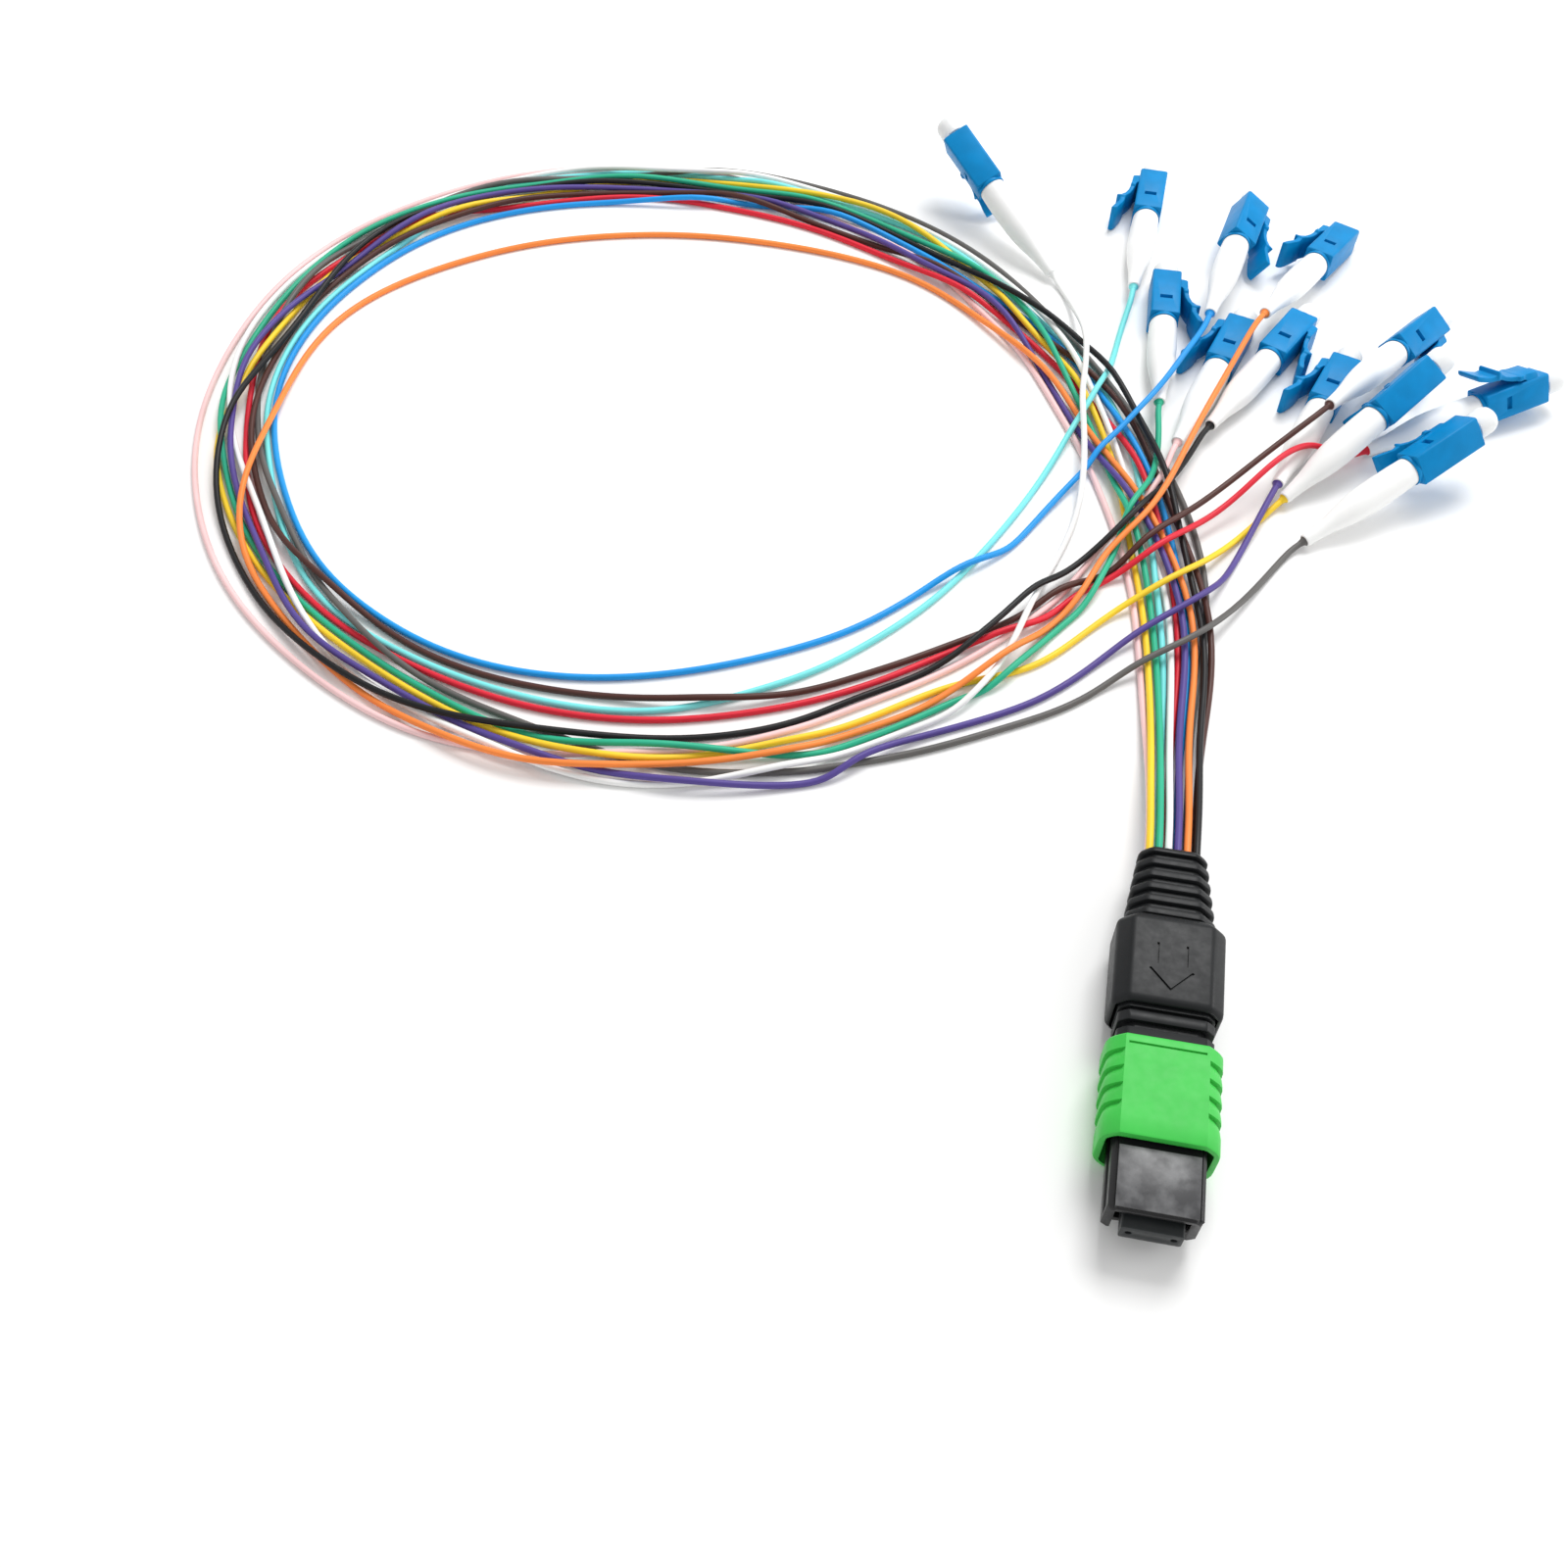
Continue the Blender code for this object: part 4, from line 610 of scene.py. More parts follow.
def push_apart(points, first, second, free):
    """Move the ends of each pair of segments that are nearer to each other than a lane."""
    share_a, share_b, gap = closest_points(points, first, second)
    length = np.maximum(np.linalg.norm(gap, axis=1), 1e-9)
    near = length < LANE_PITCH
    push = gap[near] * (0.5 * (LANE_PITCH / length[near] - 1.0))[:, None]
    moves = np.zeros_like(points)
    counts = np.zeros(len(points))
    for index, share, sign in ((first[near], share_a[near], 1), (second[near], share_b[near], -1)):
        whole = (1 - share) ** 2 + share ** 2
        for offset, weight in ((0, (1 - share) / whole), (1, share / whole)):
            for axis in range(3):
                shares = sign * weight * push[:, axis]
                moves[:, axis] += np.bincount(index + offset, shares, len(points))
            counts += np.bincount(index + offset, weight, len(points))
    return points + moves * (free / np.maximum(counts, 1.0) ** CONTACT_SHARING)[:, None]


def bends(values, inner):
    """How far the mean of each inner value's neighbours is off it, twice over."""
    found = np.zeros_like(values)
    found[inner] = values[inner - 1] + values[inner + 1] - 2 * values[inner]
    return found


def straighten(points, bend_at_rest, inner, free):
    """Pull each point towards the bend that its strand had before it was laid down."""
    excess = bends(points, inner) - bend_at_rest
    return points - STIFFNESS * bends(excess, inner) * free[:, None]


def strand_segments(sizes):
    """First points of all segments, and the points that have one on both sides."""
    ends = np.cumsum(sizes)
    is_last = np.zeros(ends[-1], dtype=bool)
    is_last[ends - 1] = True
    is_first = np.roll(is_last, 1)
    return np.nonzero(~is_last)[0], np.nonzero(~is_last & ~is_first)[0]


def laid_strands():
    """Let the strands sink onto the floor and each other, each as wide as a lane."""
    routes, from_end = strands_before_settling(STRANDS)
    sizes = [len(route) for route in routes]
    points = np.vstack(routes)
    rest = np.vstack([strand_route(colour)[0] for colour in STRANDS])
    floors = np.maximum(rest[:, 2], STRAND_FLOOR)
    free = np.where(from_end < HELD_END, 0.0, 1.0)
    segments, inner = strand_segments(sizes)
    bend_at_rest = bends(rest * (1.0, 1.0, 0.0), inner)
    for turn in range(SETTLING_ROUNDS):
        if turn % SEARCH_EVERY == 0:
            first, second = near_pairs(points, segments, NEIGHBOURS)
        level = points[:, 2] + LEVELLING * bends(points[:, 2] - rest[:, 2], inner)
        points = straighten(points, bend_at_rest, inner, free)
        if turn < SETTLING_ROUNDS - RESTING_ROUNDS:
            points[:, 2] = np.where(from_end > LEVELLED_FROM, level, points[:, 2])
            points[:, 2] -= free * (SINK_STEP if turn < SINKING_ROUNDS else LAST_SINK_STEP)
        for _ in range(PUSHES_A_ROUND):
            pushed = push_apart(points, first, second, free)
            points += (pushed - points) * STACKING
        points[:, 2] = np.maximum(points[:, 2], floors)
    return dict(zip(STRANDS, np.split(points, np.cumsum(sizes)[:-1])))


# Materials

def shader_inputs(made):
    return made.node_tree.nodes["Principled BSDF"].inputs


def start_material(name, roughness, shine):
    """A new material of even gloss."""
    made = bpy.data.materials.new(name)
    made.use_nodes = True
    shader_inputs(made)["Roughness"].default_value = roughness
    shader_inputs(made)["IOR"].default_value = PLASTIC_IOR
    shader_inputs(made)["Specular IOR Level"].default_value = shine
    return made


def own_place(tree):
    """The piece's own coordinates."""
    return tree.nodes.new("ShaderNodeTexCoord").outputs["Object"]


def noise(tree, scale, detail=3.0):
    """A noise pattern that stays with the piece."""
    pattern = tree.nodes.new("ShaderNodeTexNoise")
    pattern.inputs["Scale"].default_value = scale
    pattern.inputs["Detail"].default_value = detail
    tree.links.new(own_place(tree), pattern.inputs["Vector"])
    return pattern.outputs["Fac"]


def two_tones(tree, fac, positions, tones):
    """Colour between two tones by a pattern."""
    ramp = tree.nodes.new("ShaderNodeValToRGB")
    for element, position, tone in zip(ramp.color_ramp.elements, positions, tones):
        element.position = position
        element.color = (*tone, 1.0)
    tree.links.new(fac, ramp.inputs["Fac"])
    return ramp.outputs["Color"]


def spread(tree, value, source, target=(0.0, 1.0)):
    """A value moved from one range to another."""
    change = tree.nodes.new("ShaderNodeMapRange")
    for name, bounds in (("From", source), ("To", target)):
        change.inputs[f"{name} Min"].default_value = bounds[0]
        change.inputs[f"{name} Max"].default_value = bounds[1]
    tree.links.new(value, change.inputs["Value"])
    return change.outputs["Result"]


def grain_normal(tree, scale, height):
    """Fine moulded texture."""
    bump = tree.nodes.new("ShaderNodeBump")
    bump.inputs["Strength"].default_value = 1.0
    bump.inputs["Distance"].default_value = height
    tree.links.new(noise(tree, scale, 2.0), bump.inputs["Height"])
    return bump.outputs["Normal"]


def plastic(name, colour, roughness, tone=0.06, grain=FINE_GRAIN, patch=PATCH, shine=0.5):
    """Moulded plastic: slightly uneven tone and gloss, with a fine grain."""
    made = start_material(name, roughness, shine)
    tree = made.node_tree
    inputs = shader_inputs(made)
    dark = [channel * (1 - tone) for channel in colour]
    light = [min(1.0, channel * (1 + tone)) for channel in colour]
    tint = two_tones(tree, noise(tree, patch), TONE_RANGE, (dark, light))
    tree.links.new(tint, inputs["Base Color"])
    gloss = spread(tree, noise(tree, 3 * patch), GLOSS_RANGE,
                   [roughness + change for change in GLOSS_CHANGE])
    tree.links.new(gloss, inputs["Roughness"])
    tree.links.new(grain_normal(tree, *grain), inputs["Normal"])
    return made


def sheen_plate_plastic(name, side, plate, sheen_bright):
    """Black plastic whose raised plate is painted paler and mottled: a painted sheen for the light
    it reflects.
    """
    made = plastic(name, side, 0.34, tone=0.1, grain=HOUSING_GRAIN, shine=0.4)
    tree = made.node_tree
    base = shader_inputs(made)["Base Color"]
    plain = base.links[0].from_socket
    # Painted sheen: the top of the raised plate gets paler grey tones in a mottle, standing in for
    # the light it reflects
    painted_sheen = two_tones(tree, noise(tree, *MOTTLE), MOTTLE_RANGE, (plate, sheen_bright))
    split = tree.nodes.new("ShaderNodeSeparateXYZ")
    tree.links.new(own_place(tree), split.inputs["Vector"])
    # Mask by height: only the top of the raised plate gets this painted sheen, the walls below keep
    # the plain black
    raised = spread(tree, split.outputs["Z"], [HOUSING[1] / 2 + rise for rise in PLATE_RISE])
    blend = tree.nodes.new("ShaderNodeMixRGB")
    for socket, value in (("Fac", raised), ("Color1", plain), ("Color2", painted_sheen)):
        tree.links.new(value, blend.inputs[socket])
    tree.links.new(blend.outputs["Color"], base)
    return made


def make_materials():
    """Every finish by name."""
    looks = {
        "blue": plastic("connector_blue", (0.001, 0.222, 0.525), 0.40, shine=0.14),
        "white": plastic("boot_white", (0.90, 0.90, 0.89), 0.42, tone=0.012),
        "cap": plastic("cap_translucent", (0.95, 0.96, 0.96), 0.46, tone=0.01),
        "ceramic": plastic("ceramic", (0.86, 0.85, 0.82), 0.18, tone=0.01),
        "green": plastic("sleeve_green", (0.050, 0.520, 0.072), 0.42, tone=0.04, shine=0.25),
        "black": plastic("plug_black", (0.009, 0.010, 0.011), 0.44, tone=0.12,
                         grain=BOOT_GRAIN, shine=0.26),
        # The housing is plain black, and its raised plate gets a paler, mottled painted sheen
        "housing": sheen_plate_plastic("housing_black", (0.012, 0.012, 0.013), (0.050, 0.050, 0.053),
                                 (0.150, 0.151, 0.155)),
        "ferrule": plastic("ferrule_grey", (0.020, 0.023, 0.024), 0.34, tone=0.08, shine=0.25),
    }
    weight, radius = BOOT_SUBSURFACE
    shader_inputs(looks["white"])["Subsurface Weight"].default_value = weight
    shader_inputs(looks["white"])["Subsurface Radius"].default_value = (radius, radius, radius)
    shader_inputs(looks["cap"])["Transmission Weight"].default_value = CAP_TRANSMISSION
    for colour, tint in STRAND_LOOKS.items():
        looks[f"strand_{colour}"] = plastic(f"strand_{colour}", tint, 0.42, tone=0.05,
                                            grain=STRAND_GRAIN, patch=STRAND_PATCH, shine=0.3)
    return looks


# Pieces

def put(name, mesh, place, finish, body, node=None):
    """A piece at its place, on its body, in place of its solid."""
    piece = bpy.data.objects.new(name, mesh)
    bpy.context.collection.objects.link(piece)
    piece.matrix_world = place
    if not mesh.materials:
        mesh.materials.append(finish)
    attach(piece, body)
    if node:
        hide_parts(node)
    return piece


def take_mesh(made, bevel=0.0, angle=EDGE_ANGLE):
    """The finished mesh of a scratch object: bevelled, shaded smooth but for its real edges."""
    if bevel:
        modifier = made.modifiers.new("bevel", "BEVEL")
        modifier.width = bevel
        modifier.segments = BEVEL_STEPS
        modifier.limit_method = "ANGLE"
        modifier.angle_limit = math.radians(angle)
        modifier.use_clamp_overlap = True
        evaluated = made.evaluated_get(bpy.context.evaluated_depsgraph_get())
        mesh = bpy.data.meshes.new_from_object(evaluated)
    else:
        mesh = made.data
    bpy.data.objects.remove(made)
    mesh.shade_smooth()
    mesh.set_sharp_from_angle(angle=math.radians(angle))
    return mesh


def softened(outline, reach):
    """An outline with each corner rounded off."""
    points = []
    for index, here in enumerate(outline):
        corner = Vector(here)
        before = Vector(outline[index - 1]) - corner
        after = Vector(outline[(index + 1) % len(outline)]) - corner
        start, end = (corner + side.normalized() * min(reach, CORNER_REACH * side.length)
                      for side in (before, after))
        for step in range(CORNER_STEPS + 1):
            share = step / CORNER_STEPS
            points.append(tuple(start.lerp(corner, share).lerp(corner.lerp(end, share), share)))
    return points


def soft_ring(width, height, cut, reach=0.5 * MM):
    return softened(chamfered(width, height, cut), reach)


def connector_body_mesh():
    """Square body with its bore, windows, collar and spigot, and the latch in one piece with it."""
    half = BODY_WIDTH / 2
    ring = rounded(BODY_WIDTH, BODY_WIDTH, BODY_CORNER, 3)
    narrow = BODY_WIDTH - 2 * BODY_CHAMFER
    inner = rounded(narrow, narrow, BODY_CORNER, 3)
    body = loft("body", ((-BODY_LENGTH, inner), (-BODY_LENGTH + BODY_CHAMFER, ring),
                         (-BODY_CHAMFER, ring), (0.0, inner)))
    rim, outer, inner_rim, recess = COLLAR
    end = -BODY_LENGTH - rim
    spigot = SPIGOT[0] / 2
    start = -BODY_LENGTH + COLLAR_ROOT[0]
    profile = ((start, 0.0), (start, half - COLLAR_ROOT[1]), (-BODY_LENGTH - COLLAR_STEP, outer),
               (end + COLLAR_EDGE[0], outer), (end, outer - COLLAR_EDGE[1]), (end, inner_rim),
               (end + recess, inner_rim), (end + recess, spigot), (end - SPIGOT[1], spigot),
               (end - SPIGOT[1], 0.0))
    joined = [turned("collar", profile, 32), latch_shape(half)]
    cut_or_join(body, joined, "UNION")
    bore = FRONT_BORE[0] / 2
    mouth = bore + BORE_CHAMFER
    hollow = ((-FRONT_BORE[1], 0.0), (-FRONT_BORE[1], bore), (-BORE_CHAMFER, bore), (0.0, mouth),
              (OVERRUN, mouth), (OVERRUN, 0.0))
    rear = -BODY_LENGTH + WINDOW_FROM_REAR
    length, height, depth = WINDOW
    cuts = [turned("bore", hollow, 24)]
    cuts += side_boxes("window", half - depth, half + OVERRUN, (rear, -height / 2),
                       (rear + length, height / 2))
    cut_or_join(body, cuts, "DIFFERENCE")
    return take_mesh(body, bevel=BODY_BEVEL)


def latch_shape(top):
    """The latch: a block on the body, an arm with two nubs, a claw for the thumb and a long pad."""
    sections = []
    for back, height, thickness, width in LATCH:
        soft = LATCH_CORNERS[0 if thickness > THICK_LATCH else 1]
        ring = rounded(width * MM, thickness * MM, soft, 2)
        middle = top + (height - thickness / 2) * MM
        sections.append((-back * MM, [(x, z + middle) for x, z in ring]))
    return loft("latch", sections)


def connector_boot_mesh():
    """Smooth boot with an open tip."""
    rear = -CONNECTOR_LENGTH
    front = rear + BOOT_PROFILE[-1][0] * MM
    bore = SPIGOT[0] / 2 + FIT
    tip_bore = STRAND_DIAMETER / 2 + TIP_BORE_GAP
    depth = -BODY_LENGTH - COLLAR[0] - SPIGOT[1] - FIT
    outside = [(front - y * MM, radius * MM) for y, radius in BOOT_PROFILE]
    profile = [(depth, 0.0), (depth, bore), (front, bore)] + outside
    profile += [(rear, tip_bore), (rear + STRAND_ENTRY + FIT, tip_bore),
                (rear + STRAND_ENTRY + FIT, 0.0)]
    return take_mesh(turned("boot", profile, 40))


def cap_mesh():
    """Thin cap with a rounded end, and its shank in the connector's bore."""
    outside = [(FIT + y * MM, radius * MM) for y, radius in CAP_PROFILE]
    end = FIT + CAP_PROFILE[-1][0] * MM
    shank = CAP_SHANK[0] / 2
    hollow = shank - CAP_WALL
    profile = ([(end, 0.0)] + outside[::-1] + [(FIT, shank), (-CAP_SHANK[1], shank),
               (-CAP_SHANK[1], hollow), (end - CAP_WALL, hollow), (end - CAP_WALL, 0.0)])
    return take_mesh(turned("cap", profile, 32))


def ferrule_tip_mesh():
    """The ceramic ferrule's tip inside the cap."""
    radius, end, chamfer, gap = FERRULE_TIP
    start = -FRONT_BORE[1] + gap
    profile = ((start, 0.0), (start, radius * 0.98), (end - chamfer, radius * 0.98),
               (end, radius * 0.7), (end, 0.0))
    return take_mesh(turned("ferrule", profile, 24))


def strand_ring_mesh():
    """The strand's jacket where it swells at the tip of the boot."""
    profile = [(y * MM, radius * MM) for y, radius in RING_PROFILE]
    return take_mesh(turned("ring", profile, 24, closed=True))


def trunk_boot_mesh():
    """Ribbed boot: a slot for the strands, six rounded ribs, a plain grip and an open socket."""
    slot = soft_ring(*STRAND_SLOT)
    sections = [(SLOT_DEPTH, slot), (0.0, slot)]
    pitch = RIBBED_LENGTH / RIB_COUNT
    for rib in range(RIB_COUNT):
        for share, depth in RIB_SHAPE:
            y = pitch * (rib + share)
            grown = y / RIBBED_LENGTH
            rounding = REAR_ROUNDING[0] * max(0.0, 1 - y / REAR_ROUNDING[1]) ** 2
            inset = 2 * RIB_DEPTH * depth * (0.0 if rib == 0 and share < 0.3 else 1.0) + rounding
            width = RIBBED_REAR[0] + (RIBBED_FRONT[0] - RIBBED_REAR[0]) * grown - inset
            height = RIBBED_REAR[1] + (RIBBED_FRONT[1] - RIBBED_REAR[1]) * grown - inset
            sections.append((y, soft_ring(width, height, RIB_CUT * height)))
    width, height, cut = GRIP_SIZE
    steps = [(RIBBED_LENGTH + y * MM, inset) for y, inset in GRIP_REAR]
    steps += [(PLUG_BOOT_LENGTH - y * MM, inset) for y, inset in GRIP_FRONT]
    for y, inset in steps:
        sections.append((y, soft_ring(width - inset * MM, height - inset * MM, cut, GRIP_EDGE)))
    mouth = soft_ring(NECK[0] + 2 * FIT, NECK[1] + 2 * FIT, NECK[2], SOFT_EDGE)
    sections += [(PLUG_BOOT_LENGTH, mouth), (PLUG_BOOT_LENGTH - GRIP_SOCKET, mouth)]
    boot = loft("trunk_boot", sections)
    cut_or_join(boot, arrow_cutters(), "DIFFERENCE")
    return take_mesh(boot, angle=BOOT_ANGLE)


def arrow_cutters():
    """Two short lines and an open head, engraved in the top of the grip."""
    surface = GRIP_SIZE[1] / 2
    depth = surface - ENGRAVING
    tip = PLUG_BOOT_LENGTH - ARROW_SETBACK
    middle, line, rear, front = ARROW_LINE
    cutters = side_boxes("line", middle - line, middle + line, (tip - rear, depth),
                         (tip - front, surface + line))
    half, back, thick = ARROW_HEAD
    inner = half - 0.6 * thick
    heel = tip - back - 0.3 * thick
    corners = ((-half, tip - back), (0.0, tip), (half, tip - back), (inner, heel),
               (0.0, tip - thick), (-inner, heel))
    cutters.append(pushed("head", [(x, y, depth) for x, y in corners], (0.0, 0.0, 0.5 * MM)))
    return cutters


def trunk_neck_mesh():
    """Body between boot and front housing: two bands with a groove between them."""
    width, height, cut = NECK
    start = PLUG_BOOT_LENGTH - GRIP_SOCKET + FIT
    end = PLUG_BOOT_LENGTH + NECK_LENGTH + HOUSING_IN_SLEEVE - FIT
    bands = [(PLUG_BOOT_LENGTH + y * MM, inset) for y, inset in NECK_STEPS]
    sections = [(y, soft_ring(width - inset * MM, height - inset * MM, cut, SOFT_EDGE))
                for y, inset in [(start, 0.0), *bands, (end, 0.0)]]
    plug = soft_ring(*NECK_PLUG)
    sections += [(end, plug), (end + NECK_PLUG_LENGTH, plug)]
    return take_mesh(loft("trunk_neck", sections), angle=BOOT_ANGLE)


def sleeve_ring(shrink=0.0, groove=0.0):
    """The sleeve's outline: flat top and bottom, bulging sides, with a groove's depth."""
    side = [(x * MM, z * MM) for x, z in SLEEVE_SIDE]
    right = side + [(x, -z) for x, z in reversed(side)]
    points = []
    for x, z in right:
        bite = groove * min(1.0, max(0.0, (x - SLEEVE_FLAT) / GROOVE_FADE))
        inward = shrink + GROOVE_LEAN * bite
        points.append((x - shrink - bite, z - (inward if z > 0 else -inward)))
    return points + [(-x, z) for x, z in reversed(points)]


def trunk_sleeve_mesh():
    """Sliding grip: a collar with four wedge grooves in each side and a line across its top."""
    rear = PLUG_BOOT_LENGTH + NECK_LENGTH
    front = rear + SLEEVE_LENGTH
    bore = soft_ring(*SLEEVE_BORE)
    sections = [(rear + y * MM, shrink, 0.0) for y, shrink in SLEEVE_REAR]
    for index in range(GRIP_COUNT):
        start = rear + GRIP_START + GRIP_PITCH * index
        sections += [(start + y * MM, 0.0, depth) for y, depth in GROOVE]
    sections += [(front - y * MM, shrink, 0.0) for y, shrink in SLEEVE_FRONT]
    outer = [(y, sleeve_ring(shrink * MM, groove * MM)) for y, shrink, groove in sections]
    grip = loft("sleeve_outside", outer)
    hollow = loft("sleeve_bore", ((rear - OVERRUN, bore), (front + OVERRUN, bore)))
    start, thick, half = SLEEVE_LINE
    top = SLEEVE_SIDE[0][1] * MM
    line = box("line", (-half, rear + start, top - ENGRAVING),
               (half, rear + start + thick, top + OVERRUN))
    cut_or_join(grip, [hollow, line], "DIFFERENCE")
    return take_mesh(grip, angle=SLEEVE_ANGLE)


def trunk_housing_mesh():
    """Front housing: a top plate, side channels and the ferrule's opening."""
    width, height, cut = HOUSING
    rear = PLUG_BOOT_LENGTH + NECK_LENGTH + HOUSING_IN_SLEEVE
    front = HOUSING_FRONT
    full = chamfered(width, height, cut)
    eased = chamfered(width - HOUSING_EASE, height - HOUSING_EASE, cut)
    housing = loft("trunk_housing", ((rear, full), (front - HOUSING_EASE, full), (front, eased)))
    top = height / 2
    half = KEY[0] / 2
    sleeve_front = PLUG_BOOT_LENGTH + NECK_LENGTH + SLEEVE_LENGTH
    key = box("key", (-half, sleeve_front + KEY_GAP, top - KEY_ROOT),
              (half, front - KEY_SETBACK, top + KEY[1]))
    cut_or_join(housing, [key], "UNION")
    across = FERRULE[0] / 2 + FIT
    up = FERRULE[1] / 2 + FIT
    wide = OPENING[0] / 2
    mouth = front - OPENING[2]
    cuts = [prism("rear_socket", chamfered(*REAR_SOCKET), rear - OVERRUN,
                  rear + REAR_SOCKET_DEPTH),
            box("ferrule_way", (-across, front + FERRULE_PROTRUSION - FERRULE[2] - FIT, -up),
                (across, front + OVERRUN, up)),
            box("opening", (-wide, mouth, -OPENING[1]), (wide, front + OVERRUN, OPENING[1])),
            box("walls_back", (-width, front - WALL_SETBACK[0], -top - OVERRUN),
                (width, front + OVERRUN, top - KEY[2])),
            box("floor_back", (-wide, front - WALL_SETBACK[1], -top - OVERRUN),
                (wide, front + OVERRUN, 0.0))]
    depth, start, low, high = CHANNEL
    cuts += side_boxes("channel", width / 2 - depth, width, (rear + start, -low),
                       (front - OVERRUN, high))
    near, far, start = KEY_GROOVE
    cuts += side_boxes("gap", half + near, half + far, (rear + start, top - KEY_ROOT),
                       (front + OVERRUN, top + OVERRUN))
    cut_or_join(housing, cuts, "DIFFERENCE")
    return take_mesh(housing, bevel=HOUSING_BEVEL)


def trunk_ferrule_mesh():
    """Rectangular ferrule with two guide holes."""
    front = HOUSING_FRONT + FERRULE_PROTRUSION
    width, height, length = FERRULE
    outline = soft_ring(width, height, *FERRULE_CORNER)
    block = prism("trunk_ferrule", outline, front - length, front)
    radius, spacing, depth = GUIDE_HOLE
    profile = ((front - depth, 0.0), (front - depth, radius), (front + OVERRUN, radius),
               (front + OVERRUN, 0.0))
    holes = []
    for side in (-1, 1):
        hole = turned(f"guide_{side}", profile, 20)
        hole.location.x = side * spacing / 2
        holes.append(hole)
    cut_or_join(block, holes, "DIFFERENCE")
    return take_mesh(block, bevel=FERRULE_BEVEL)


def add_trunk_plug(looks):
    """The five pieces of the trunk plug, of which the sleeve slides."""
    pieces = (
        ("trunk_boot", trunk_boot_mesh(), "black", "cable", "mpo_boot", "plug_black"),
        ("trunk_neck", trunk_neck_mesh(), "black", "cable", "mpo_rear_body", "plug_black"),
        ("trunk_housing", trunk_housing_mesh(), "housing", "cable", "mpo_housing", "plug_black"),
        ("trunk_ferrule", trunk_ferrule_mesh(), "ferrule", "cable", "mt_ferrule", "ferrule_grey"),
        ("trunk_sleeve", trunk_sleeve_mesh(), "green", "sleeve", "mpo_sleeve", "sleeve_green"),
    )
    for name, mesh, finish, body, node, slot in pieces:
        put(name, mesh, plug_pose(), looks[finish], body, node)


def add_connectors(looks):
    """Body, boot, cap, ferrule tip and strand ring of each connector, in the model's own frame."""
    shapes = (("connector_body", connector_body_mesh(), "blue", "lc_housing", "connector_blue"),
              ("connector_boot", connector_boot_mesh(), "white", "lc_boot", "boot_white"),
              ("dust_cap", cap_mesh(), "cap", "lc_dust_cap", "cap_clear"),
              ("ferrule_tip", ferrule_tip_mesh(), "ceramic", None, None))
    ring = strand_ring_mesh()
    for colour in CONNECTORS:
        place = connector_pose(colour)
        for name, shape, finish, node, slot in shapes:
            mesh = shape.copy()
            mesh.transform(place)
            put(f"{name}_{colour}", mesh, Matrix(), looks[finish], "cable",
                f"{node}_{colour}" if node else None)
        mesh = ring.copy()
        mesh.transform(place @ Matrix.Translation((0.0, -CONNECTOR_LENGTH, 0.0)))
        put(f"strand_ring_{colour}", mesh, Matrix(), looks[f"strand_{colour}"], "cable")


def smooth_line(points):
    """More points on a Catmull-Rom curve through the given ones."""
    padded = np.vstack([2 * points[0] - points[1], points, 2 * points[-1] - points[-2]])
    p0, p1, p2, p3 = padded[:-3], padded[1:-2], padded[2:-1], padded[3:]
    lines = []
    for step in range(STRAND_SMOOTHING):
        t = step / STRAND_SMOOTHING
        lines.append(0.5 * (2 * p1 + (p2 - p0) * t + (2 * p0 - 5 * p1 + 4 * p2 - p3) * t * t
                            + (3 * p1 - p0 - 3 * p2 + p3) * t ** 3))
    woven = np.stack(lines, axis=1).reshape(-1, 3)
    return np.vstack([woven, points[-1:]])


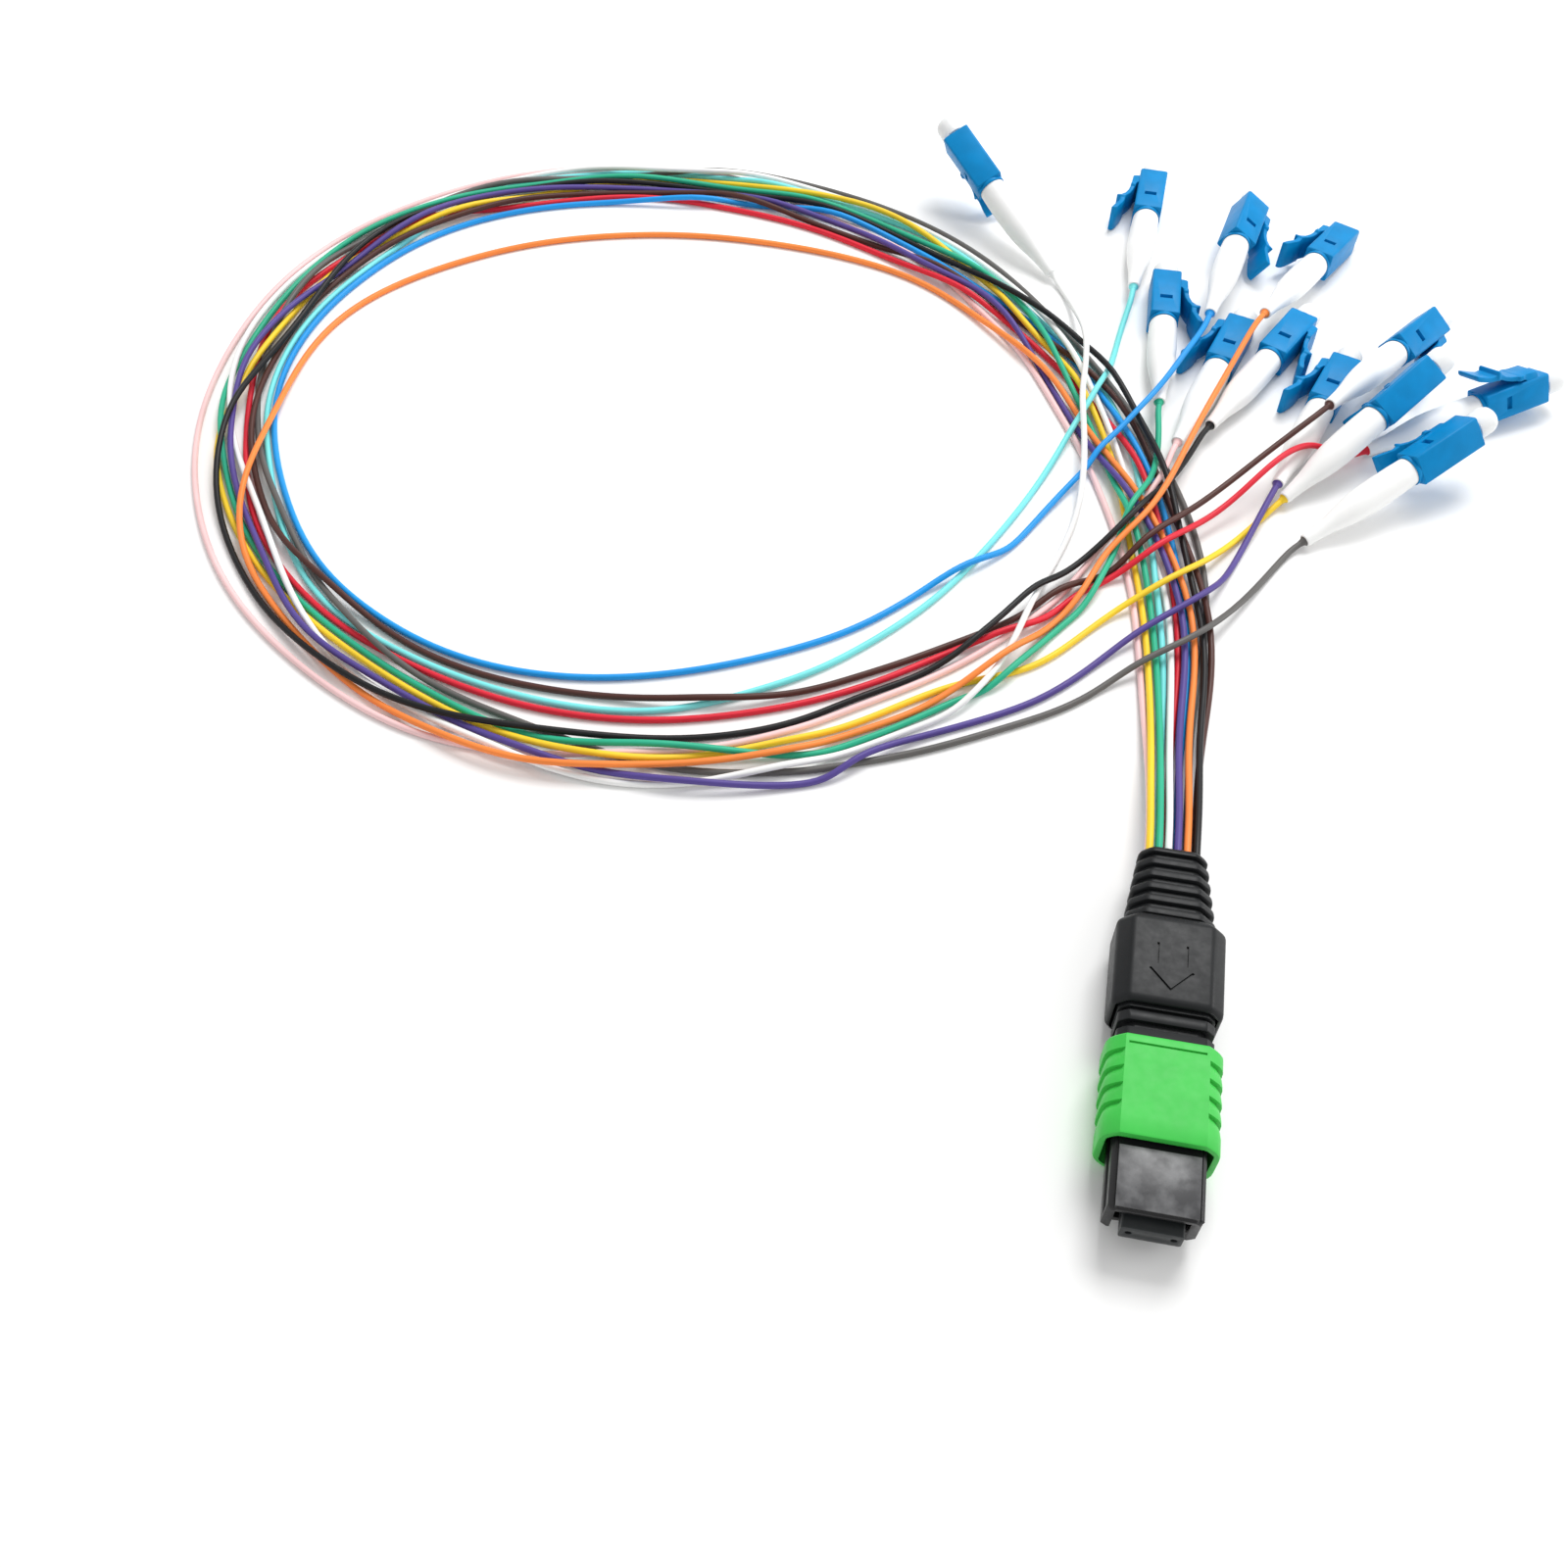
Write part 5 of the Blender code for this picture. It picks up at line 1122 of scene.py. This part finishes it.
def add_strands(looks):
    """One round tube for each strand."""
    for colour, route in laid_strands().items():
        points = smooth_line(route)
        curve = bpy.data.curves.new(f"fibre_{colour}", "CURVE")
        curve.dimensions = "3D"
        curve.bevel_depth = STRAND_DIAMETER / 2
        curve.bevel_resolution = 2
        curve.use_fill_caps = True
        spline = curve.splines.new("POLY")
        spline.points.add(len(points) - 1)
        for place, point in zip(spline.points, points):
            place.co = (*point, 1.0)
        spline.use_smooth = True
        curve.materials.append(looks[f"strand_{colour}"])
        strand = bpy.data.objects.new(f"fibre_{colour}", curve)
        bpy.context.collection.objects.link(strand)
        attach(strand, "cable")
        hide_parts(f"strand_{colour}")
        exit_point = trunk_points(colour)[1]


# Stage

def add_stage():
    """Pale table, soft light from above and behind, and the camera."""
    scene = bpy.context.scene
    camera_data = bpy.data.cameras.new("camera")
    camera_data.sensor_width = SENSOR_WIDTH
    camera_data.lens = SENSOR_WIDTH * CAMERA_FOCAL
    camera_data.shift_x = CAMERA_SHIFT
    camera_data.clip_start = CAMERA_CLIP
    camera = bpy.data.objects.new("camera", camera_data)
    scene.collection.objects.link(camera)
    camera.location = on_plan(0.0, 0.0, CAMERA_HEIGHT)
    camera.rotation_euler = (math.radians(90.0 - CAMERA_TILT), 0.0, 0.0)
    scene.camera = camera

    shape = bmesh.new()
    bmesh.ops.create_grid(shape, x_segments=1, y_segments=1, size=TABLE_REACH)
    floor = add_mesh("floor", shape)
    made = start_material("table_white", *TABLE_GLOSS)
    shader_inputs(made)["Base Color"].default_value = (*TABLE_COLOUR, 1.0)
    floor.data.materials.append(made)

    world = bpy.data.worlds.new("studio")
    world.use_nodes = True
    sky = world.node_tree.nodes["Background"].inputs
    sky["Color"].default_value = (1.0, 1.0, 1.0, 1.0)
    sky["Strength"].default_value = WORLD_STRENGTH
    scene.world = world
    scene.view_settings.view_transform = "Standard"
    for name, place, size, power in LIGHTS:
        light_data = bpy.data.lights.new(name, "AREA")
        light_data.shape = "SQUARE"
        light_data.size = size
        light_data.energy = power
        light = bpy.data.objects.new(name, light_data)
        scene.collection.objects.link(light)
        light.location = place
        light.rotation_euler = (-light.location).to_track_quat("-Z", "Y").to_euler()


def main():
    looks = make_materials()
    add_stage()
    add_strands(looks)
    add_trunk_plug(looks)
    add_connectors(looks)


main()
